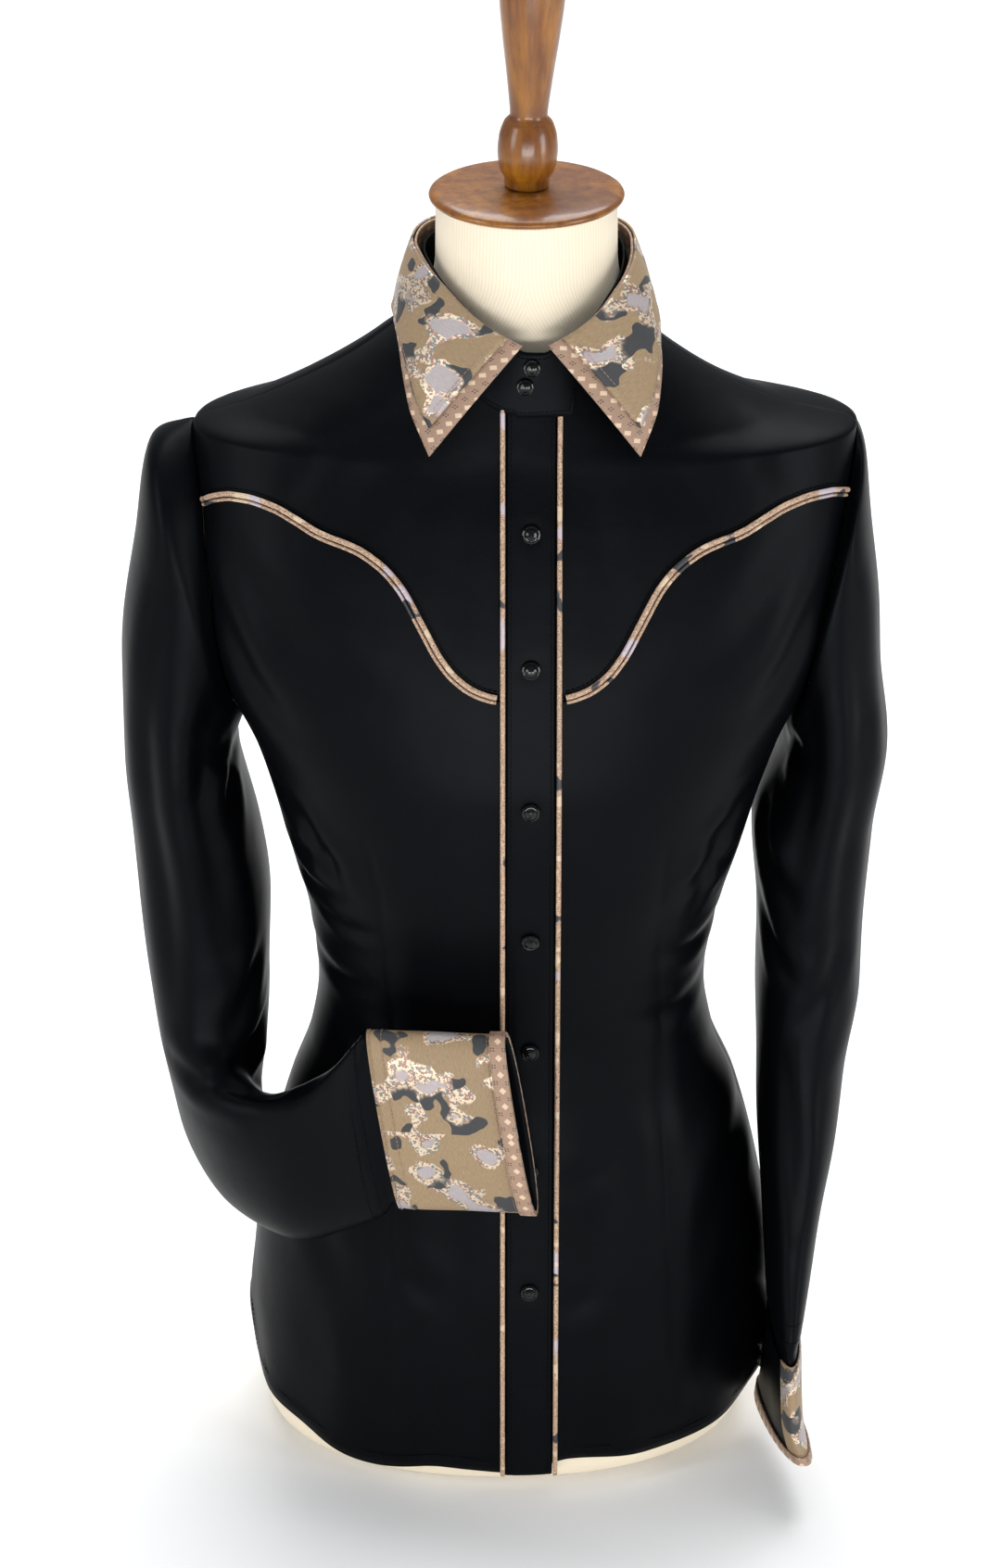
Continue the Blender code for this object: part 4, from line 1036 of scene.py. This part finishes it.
def build_sleeve(side, label, rings, cuff_rings):
    columns = 97
    around = 2 * math.pi * np.linspace(0, 1, columns)
    around = around if side > 0 else around[::-1]
    last = len(rings)
    rows = np.linspace(0, last, 190)
    points = sleeve_points(side, rings, around, rows)
    points[:, -1] = points[:, 0]
    flat = points.reshape(-1, 3)
    showing = np.clip((last - 1.9 - rows) / 1.2, 0, 1)[:, None] + 0 * points[..., 0]
    lift = slack(flat, 0.0009, 0.11, 61 + side)
    for depth, width, path in SLEEVE_FOLDS[side]:
        line = [through(np.concatenate([
            armhole_ring(side, np.radians([turn]))[None],
            ring_points(side, rings, np.radians([turn]))]), np.array([number]))[0, 0]
            for turn, number in path]
        lift += crease(flat, line, SLEEVE_FOLD_GAIN * depth, width)
    lift = lift * showing.ravel()
    head = np.clip(rows / 0.18, 0, 1)[:, None] + 0 * points[..., 0]
    lift = lift * head.ravel() - 0.0006 * bell(rows, 0.08).repeat(columns)
    made = cloth("sleeve_cloth_" + label, points, "black_satin", ["sleeve_" + label],
                 amounts=lift, closed=True)
    bent_arm = side < 0

    def cuff(rows_between, out=0.0):
        table = np.column_stack([np.arange(len(cuff_rings)), np.array(cuff_rings)])
        ring = smooth_columns(table, rows_between * (len(cuff_rings) - 1))
        shaped = ring_points(side, ring, around)
        across = unit(ring[:, 3:6] * [side, 1, 1])[:, None]
        deep = unit(ring[:, 6:9] * [side, 1, 1])[:, None]
        away = (across * blunt(np.cos(around))[None, :, None]
                + deep * blunt(np.sin(around))[None, :, None])
        shaped = shaped + unit(away) * out
        shaped[:, -1] = shaped[:, 0]
        return shaped

    share = np.linspace(0, 1, 30)
    points = cuff(share)
    lift = slack(points.reshape(-1, 3), 0.00025, 0.05, 71 + side)
    lift -= 0.0004 * bell(share - 0.03, 0.03).repeat(columns)
    made = cloth("cuff_cloth_" + label, points, "patterned_brocade", ["cuff_" + label], BROCADE,
                 lift, closed=True, lining="black_satin")
    if not bent_arm:        # its side towards the body is black satin: partly the cuff's own facing, partly painted shade
        # This black stretch stands partly for a real black facing and partly for painted shade on the
        # side away from the light.
        faced(made, "black_satin", -0.040, 0.060)
    border = np.linspace(0.885, 1.0, 8)
    points = cuff(border, BROCADE + 0.0006)
    made = cloth("cuff_border_" + label, points, "trim_brocade", ["cuff_trim_" + label], BROCADE,
                 closed=True)
    rows_of_stitches = []
    seen = np.full(columns, True) if bent_arm else around < math.radians(120)
    for at in (0.018, 0.105, 0.865):
        ring = cuff(np.array([at]), 0.0001)[0]
        further = cuff(np.array([at]), 0.001)[0]
        rows_of_stitches.append((ring[seen], unit(further - ring)[seen]))
    stitching("cuff_stitching_" + label, rows_of_stitches, "trim_brocade", 0.0026, 0.0018, 0.00034)
    rows_of_stitches = []
    for number in (last - 2.35, last - 2.02):
        ring = sleeve_points(side, rings, around, np.array([number]))[0]
        middle = ring.mean(0)
        rows_of_stitches.append((ring + unit(ring - middle) * 0.0001, unit(ring - middle)))
    stitching("sleeve_end_stitching_" + label, rows_of_stitches)


# ---------------------------------------------------------------- the form


def build_form():
    heights = np.concatenate([
        [0.0, 0.0008, 0.0025, 0.005, 0.009], np.linspace(0.014, 0.62, 70),
        np.linspace(0.628, 0.775, 40), [0.776]])[:, None]
    angle = np.linspace(0, 2 * math.pi, 145)[None, :]
    inset = smooth_columns(FORM_INSET, heights)[..., 0]
    height, angle = np.broadcast_arrays(heights, angle)
    points = on_torso(angle, height, -(inset + 0 * angle))
    upright = (height < 0.05) | (height > 0.72)
    points[..., 2] = np.where(upright, height, points[..., 2])
    points[:, -1] = points[:, 0]
    mesh = laid_mesh("form_torso", points, cloth_coordinates(points), closed=True)
    shape = bmesh.new()
    shape.from_mesh(mesh)
    rims = [edge for edge in shape.edges if edge.is_boundary]
    bmesh.ops.holes_fill(shape, edges=rims, sides=0)
    bmesh.ops.recalc_face_normals(shape, faces=shape.faces)
    shape.to_mesh(mesh)
    shape.free()
    mesh.shade_smooth()
    add_piece("form_torso", mesh, "cream_jersey", ["form_body"])

    place = Matrix.Translation((*NECK_CENTRE, 0))
    cap = ((0, 0.7763), (0.0500, 0.7763), (0.0522, 0.7767), (0.0535, 0.7778), (0.0538, 0.7790),
           (0.0532, 0.7802), (0.0515, 0.7812), (0.0490, 0.7820), (0.0400, 0.7827),
           (0.0250, 0.7832), (0.0, 0.7835))
    turned("neck_cap_wood", cap, 128, "varnished_wood", ["form_neck_cap"], place)
    outline = np.array(FINIAL[::-1])
    rows = np.linspace(0, len(outline) - 1, 120)
    fine = smooth_columns(np.column_stack([np.arange(len(outline)), outline]), rows)
    foot = Vector((*NECK_CENTRE, FINIAL[-1][1]))
    lean = Matrix.Translation(foot) @ Matrix.Rotation(FINIAL_LEAN, 4, "Y") @ Matrix.Translation(
        (0, 0, -foot.z))
    turned("finial_wood", [tuple(pair) for pair in fine], 96, "varnished_wood", ["form_finial"],
           lean)


# ---------------------------------------------------------------- finishes


class Value:
    """A shader socket that can be used in arithmetic."""

    def __init__(self, finish, socket):
        self.finish, self.socket = finish, socket

    def _maths(self, operation, *numbers):
        return self.finish.node("Math", {"operation": operation}, dict(enumerate(numbers)))

    def __add__(self, other):
        return self._maths("ADD", self, other)

    def __sub__(self, other):
        return self._maths("SUBTRACT", self, other)

    def __rsub__(self, other):
        return self._maths("SUBTRACT", other, self)

    def __mul__(self, other):
        return self._maths("MULTIPLY", self, other)

    def __truediv__(self, other):
        return self._maths("DIVIDE", self, other)

    __radd__ = __add__
    __rmul__ = __mul__

    def fraction(self):
        return self._maths("FRACT", self)

    def size(self):
        return self._maths("ABSOLUTE", self)

    def wave(self):
        return self._maths("SINE", self)

    def above(self, edge, softness=0.02):
        """0 below an edge, 1 above it, with a soft step between."""
        settings = {"interpolation_type": "SMOOTHSTEP"}
        return self.finish.node("MapRange", settings, {
            "Value": self, "From Min": edge - softness, "From Max": edge + softness})

    def below(self, edge, softness=0.02):
        return 1 - self.above(edge, softness)


class Finish:
    """One material's node tree."""

    def __init__(self, name, **constants):
        self.material = bpy.data.materials.new(name)
        self.material.use_nodes = True
        self.tree = self.material.node_tree
        self.shader = self.tree.nodes["Principled BSDF"]
        for key, value in constants.items():
            self.shader.inputs[key.replace("_", " ").replace("level", "Level")].default_value = value

    def node(self, kind, settings=(), inputs=(), out=0):
        made = self.tree.nodes.new("ShaderNode" + kind)
        for key, value in dict(settings).items():
            setattr(made, key, value)
        for key, value in dict(inputs).items():
            if isinstance(value, Value):
                self.tree.links.new(value.socket, made.inputs[key])
            else:
                made.inputs[key].default_value = value
        return Value(self, made.outputs[out])

    def place(self, kind="Object"):
        return self.node("TexCoord", out=kind)

    def axis(self, vector, index):
        return self.node("SeparateXYZ", {}, {0: vector}, out=index)

    def noise(self, vector, scale, detail=2.0, out=0, roughness=0.5):
        return self.node("TexNoise", {}, {"Vector": vector, "Scale": scale, "Detail": detail,
                                          "Roughness": roughness}, out)

    def stretched(self, vector, scale):
        return self.node("Mapping", {}, {"Vector": vector, "Scale": scale})

    def shifted(self, vector, by, amount):
        """A vector field pushed about by a coloured noise."""
        centred = self.node("VectorMath", {"operation": "SUBTRACT"}, {0: by, 1: (0.5, 0.5, 0.5)})
        scaled = self.node("VectorMath", {"operation": "SCALE"}, {0: centred, "Scale": amount})
        return self.node("VectorMath", {"operation": "ADD"}, {0: vector, 1: scaled})

    def mix(self, share, first, second):
        first = first if isinstance(first, Value) else (*first, 1.0)
        second = second if isinstance(second, Value) else (*second, 1.0)
        return self.node("Mix", {"data_type": "RGBA"}, {0: share, 6: first, 7: second}, out=2)

    def bump(self, height, distance, strength=1.0, under=None):
        inputs = {"Height": height, "Distance": distance, "Strength": strength}
        if under is not None:
            inputs["Normal"] = under
        return self.node("Bump", {}, inputs)

    def feed(self, **values):
        for key, value in values.items():
            self.tree.links.new(value.socket, self.shader.inputs[key.replace("_", " ")])
        return self.material


def black_satin():
    """Heavy black satin: a broad cool sheen, fine twill and faint slubs."""
    finish = Finish("black_satin", Specular_IOR_level=0.052,
                    Specular_Tint=(0.86, 0.92, 1.0, 1.0))
    place = finish.place()
    grain = finish.noise(finish.stretched(place, (900, 900, 2600)), 1.0, 2.0)
    cloud = finish.noise(place, 26, 3.0)
    colour = finish.mix(cloud, (0.0008, 0.0009, 0.0013), (0.0016, 0.0018, 0.0026))
    colour = finish.mix(grain.above(0.62, 0.08) * 0.35, colour, (0.0050, 0.0054, 0.0070))
    weave = finish.bump(grain, 0.00012, 0.35)
    normal = finish.bump(finish.noise(place, 70, 2.0), 0.0006, 0.35, weave)
    return finish.feed(Base_Color=colour, Roughness=0.33 + cloud * 0.10 + grain * 0.06,
                       Normal=normal)


def patterned_brocade():
    """Tan jacquard with drifting silver, gold and charcoal patches of its own layout."""
    finish = Finish("patterned_brocade", Sheen_Weight=0.05)
    flat = finish.place("UV")
    drift = finish.noise(flat, 42, 2.0, out=1)
    warped = finish.shifted(flat, drift, 0.018)
    land = finish.noise(warped, 36, 1.2)
    isles = finish.noise(finish.shifted(flat, drift, 0.030), 52, 0.6)
    bars = finish.noise(finish.stretched(flat, (300, 1900, 1)), 1.0, 2.0)
    scales = finish.node("TexVoronoi", {"feature": "F1"},
                         {"Vector": finish.shifted(flat, drift, 0.004), "Scale": 900}, out=1)
    tint = finish.axis(scales, 0)
    tan = finish.mix(bars, (0.135, 0.088, 0.043), (0.34, 0.235, 0.130))
    silver = finish.mix(bars, (0.25, 0.215, 0.220), (0.42, 0.375, 0.375))
    glitter = finish.mix(tint.above(0.50, 0.05), (0.60, 0.49, 0.35), (0.27, 0.155, 0.125))
    glitter = finish.mix(tint.above(0.86, 0.04), glitter, (0.12, 0.19, 0.20))
    charcoal = finish.mix(bars, (0.012, 0.013, 0.015), (0.032, 0.033, 0.036))
    silver_at = land.above(0.605, 0.012)
    glitter_at = land.above(0.520, 0.010) * land.below(0.610, 0.012)
    charcoal_at = isles.above(0.605, 0.006) * land.below(0.56, 0.03)
    colour = finish.mix(glitter_at, tan, glitter)
    colour = finish.mix(silver_at, colour, silver)
    colour = finish.mix(charcoal_at, colour, charcoal)
    bright = glitter_at * (1 - charcoal_at)
    thread = finish.bump(bars, 0.00025, 0.6)
    normal = finish.bump(tint * bright + charcoal_at * -0.6, 0.0003, 0.6, thread)
    return finish.feed(Base_Color=colour, Roughness=0.62 - bright * 0.24 - silver_at * 0.12,
                       Metallic=bright * 0.45 + silver_at * 0.25, Normal=normal)


def trim_brocade():
    """Rosy tan with pale diamonds and square dark dots between them."""
    repeat_along, repeat_across, first_row = 0.0097, 0.0066, 0.0017
    finish = Finish("trim_brocade", Sheen_Weight=0.05)
    flat = finish.place("UV")
    along = finish.axis(flat, 0) / repeat_along
    across = (finish.axis(flat, 1) - first_row) / repeat_across
    from_middle = ((along.fraction() - 0.5).size(), (across.fraction() - 0.5).size())
    diamond = (from_middle[0] / 0.22 + from_middle[1] / 0.31).below(1.0, 0.12)
    from_corner = 0.5 - from_middle[0], 0.5 - from_middle[1]
    dots = ((from_corner[0] - 0.074).size().below(0.040, 0.008)
            * (from_corner[1] - 0.109).size().below(0.060, 0.012))
    bars = finish.noise(finish.stretched(flat, (2600, 500, 1)), 1.0, 2.0)
    colour = finish.mix(bars, (0.19, 0.110, 0.070), (0.36, 0.235, 0.160))
    colour = finish.mix(diamond, colour, (0.56, 0.415, 0.29))
    colour = finish.mix(dots, colour, (0.03, 0.028, 0.03))
    normal = finish.bump(bars + diamond * 0.8, 0.00022, 0.6)
    return finish.feed(Base_Color=colour, Roughness=0.58 - diamond * 0.15, Normal=normal)


def piping_brocade():
    """Narrow bias piping, with stretches of silver, gold and black."""
    finish = Finish("piping_brocade", Sheen_Weight=0.05)
    place = finish.place()
    land = finish.noise(place, 38, 1.5)
    other = finish.noise(finish.stretched(place, (1, 1, 1.3)), 61, 1.0)
    twist = finish.noise(finish.stretched(place, (900, 900, 1600)), 1.0, 2.0)
    colour = finish.mix(twist.above(0.5, 0.16), (0.20, 0.120, 0.075), (0.50, 0.345, 0.235))
    colour = finish.mix(land.above(0.64, 0.02) * 0.8, colour, (0.42, 0.37, 0.42))
    colour = finish.mix(other.above(0.66, 0.015) * 0.6, colour, (0.62, 0.50, 0.34))
    dark = other.below(0.335, 0.012)
    colour = finish.mix(dark, colour, (0.022, 0.022, 0.026))
    normal = finish.bump(twist, 0.00025, 0.7)
    return finish.feed(Base_Color=colour, Roughness=0.56 - land.above(0.58, 0.02) * 0.14,
                       Metallic=land.above(0.58, 0.02) * 0.2, Normal=normal)


def black_button():
    """Polished black resin, its tone and gloss varying faintly at random."""
    finish = Finish("black_button", Coat_Weight=0.12, Coat_Roughness=0.04,
                    Specular_IOR_level=0.22)
    haze = finish.noise(finish.place(), 700, 3.0)
    colour = finish.mix(haze, (0.0015, 0.0015, 0.0018), (0.0030, 0.0030, 0.0036))
    return finish.feed(Base_Color=colour, Roughness=0.06 + haze * 0.10)


def cream_jersey():
    """Matt cream jersey, its fine ribs running up the form."""
    finish = Finish("cream_jersey", Sheen_Weight=0.12, Sheen_Roughness=0.5)
    flat = finish.place("UV")
    place = finish.place()
    rib = (finish.axis(flat, 0) * (2 * math.pi / 0.0021)).wave()
    fuzz = finish.noise(place, 1500, 2.0)
    mottle = finish.noise(place, 14, 3.0)
    colour = finish.mix(mottle, (0.74, 0.655, 0.500), (0.79, 0.71, 0.57))
    colour = finish.mix(rib.above(0.0, 1.2) * 0.34, colour, (0.58, 0.48, 0.34))
    normal = finish.bump(rib * 0.5 + fuzz * 0.5, 0.0002, 0.5)
    return finish.feed(Base_Color=colour, Roughness=0.82 + fuzz * 0.12, Normal=normal)


def varnished_wood():
    """Turned red-brown hardwood under a gloss varnish."""
    finish = Finish("varnished_wood", Coat_Weight=0.35, Coat_Roughness=0.12,
                    Specular_IOR_level=0.35)
    place = finish.place()
    long_grain = finish.noise(finish.stretched(place, (130, 130, 9)), 1.0, 5.0, roughness=0.65)
    pores = finish.noise(finish.stretched(place, (900, 900, 45)), 1.0, 2.0)
    cloud = finish.noise(place, 22, 2.0)
    colour = finish.mix(long_grain.above(0.5, 0.22), (0.125, 0.034, 0.002), (0.30, 0.115, 0.006))
    colour = finish.mix(cloud.above(0.55, 0.15) * 0.6, colour, (0.085, 0.022, 0.006))
    colour = finish.mix(pores.above(0.66, 0.04) * 0.5, colour, (0.09, 0.026, 0.009))
    normal = finish.bump(long_grain * 0.6 + pores * 0.4, 0.00015, 0.4)
    return finish.feed(Base_Color=colour, Roughness=0.30 + pores * 0.12, Normal=normal)


def pale_floor():
    finish = Finish("pale_floor")
    cloud = finish.noise(finish.place(), 3, 2.0)
    colour = finish.mix(cloud, (0.86, 0.86, 0.86), (0.89, 0.89, 0.89))
    return finish.feed(Base_Color=colour, Roughness=0.86 + cloud * 0.06)


# ---------------------------------------------------------------- studio

# light, place, aim, width and height, power
STUDIO_LIGHTS = (
    ("overhead", (0.1, 1.4, 3.2), (0, 1.0, 0.3), (3.0, 3.0), 165),
    ("low_front", (0.0, -2.7, 0.30), (0, 0, 0.50), (2.2, 0.42), 42),
    ("window_left", (-2.2, -1.3, 1.2), (0, 0, 0.45), (0.8, 1.6), 26),
    ("window_right", (2.4, -1.4, 0.8), (0, 0, 0.30), (0.9, 1.4), 34),
)
SKY_STRENGTH = 0.36


def build_studio():
    shape = bmesh.new()
    bmesh.ops.create_grid(shape, x_segments=1, y_segments=1, size=9)
    floor = bpy.data.objects.new("floor", drawn_mesh("floor", shape, smooth=False))
    floor.data.materials.append(pale_floor())
    bpy.context.scene.collection.objects.link(floor)
    for name, place, aim, size, power in STUDIO_LIGHTS:
        light = bpy.data.lights.new(name, "AREA")
        light.shape = "RECTANGLE"
        light.size, light.size_y = size
        light.energy = power
        lamp = bpy.data.objects.new(name, light)
        towards = Vector(aim) - Vector(place)
        lamp.matrix_world = (Matrix.Translation(place)
                             @ towards.to_track_quat("-Z", "Y").to_matrix().to_4x4())
        bpy.context.scene.collection.objects.link(lamp)
    world = bpy.data.worlds.new("studio")
    world.use_nodes = True
    sky = world.node_tree.nodes["Background"]
    sky.inputs["Color"].default_value = (0.93, 0.96, 1.0, 1)
    sky.inputs["Strength"].default_value = SKY_STRENGTH
    bpy.context.scene.world = world
    bpy.context.scene.view_settings.view_transform = "Standard"
    lens = bpy.data.cameras.new("camera")
    lens.lens = 106.38
    camera = bpy.data.objects.new("camera", lens)
    camera.location = (-0.0073, -2.416, 1.622)
    camera.rotation_euler = (math.radians(63.5), 0, 0)
    bpy.context.scene.collection.objects.link(camera)
    bpy.context.scene.camera = camera


# ---------------------------------------------------------------- build

BUTTONS = ["button_%d" % number for number in range(1, 8)]
BUTTONS += ["collar_button_1", "collar_button_2"]
BUTTONS += ["cuff_button_%s_%d" % (side, number) for side in ("right", "left") for number in (1, 2)]
BUTTON_HEIGHTS = [float(sum(corner[2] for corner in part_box(node)) / 2) for node in BUTTONS[:7]]
FINISHES = {made.__name__: made() for made in (
    black_satin, patterned_brocade, trim_brocade, piping_brocade, black_button, cream_jersey,
    varnished_wood)}

build_form()
build_fronts()
build_back()
build_band()
build_yoke_piping()
build_hem_stitching()
build_collar()
build_sleeve(-1, "right", SLEEVE_BENT, CUFF_BENT)
build_sleeve(1, "left", SLEEVE_HANGING, CUFF_HANGING)
build_buttons()
build_studio()
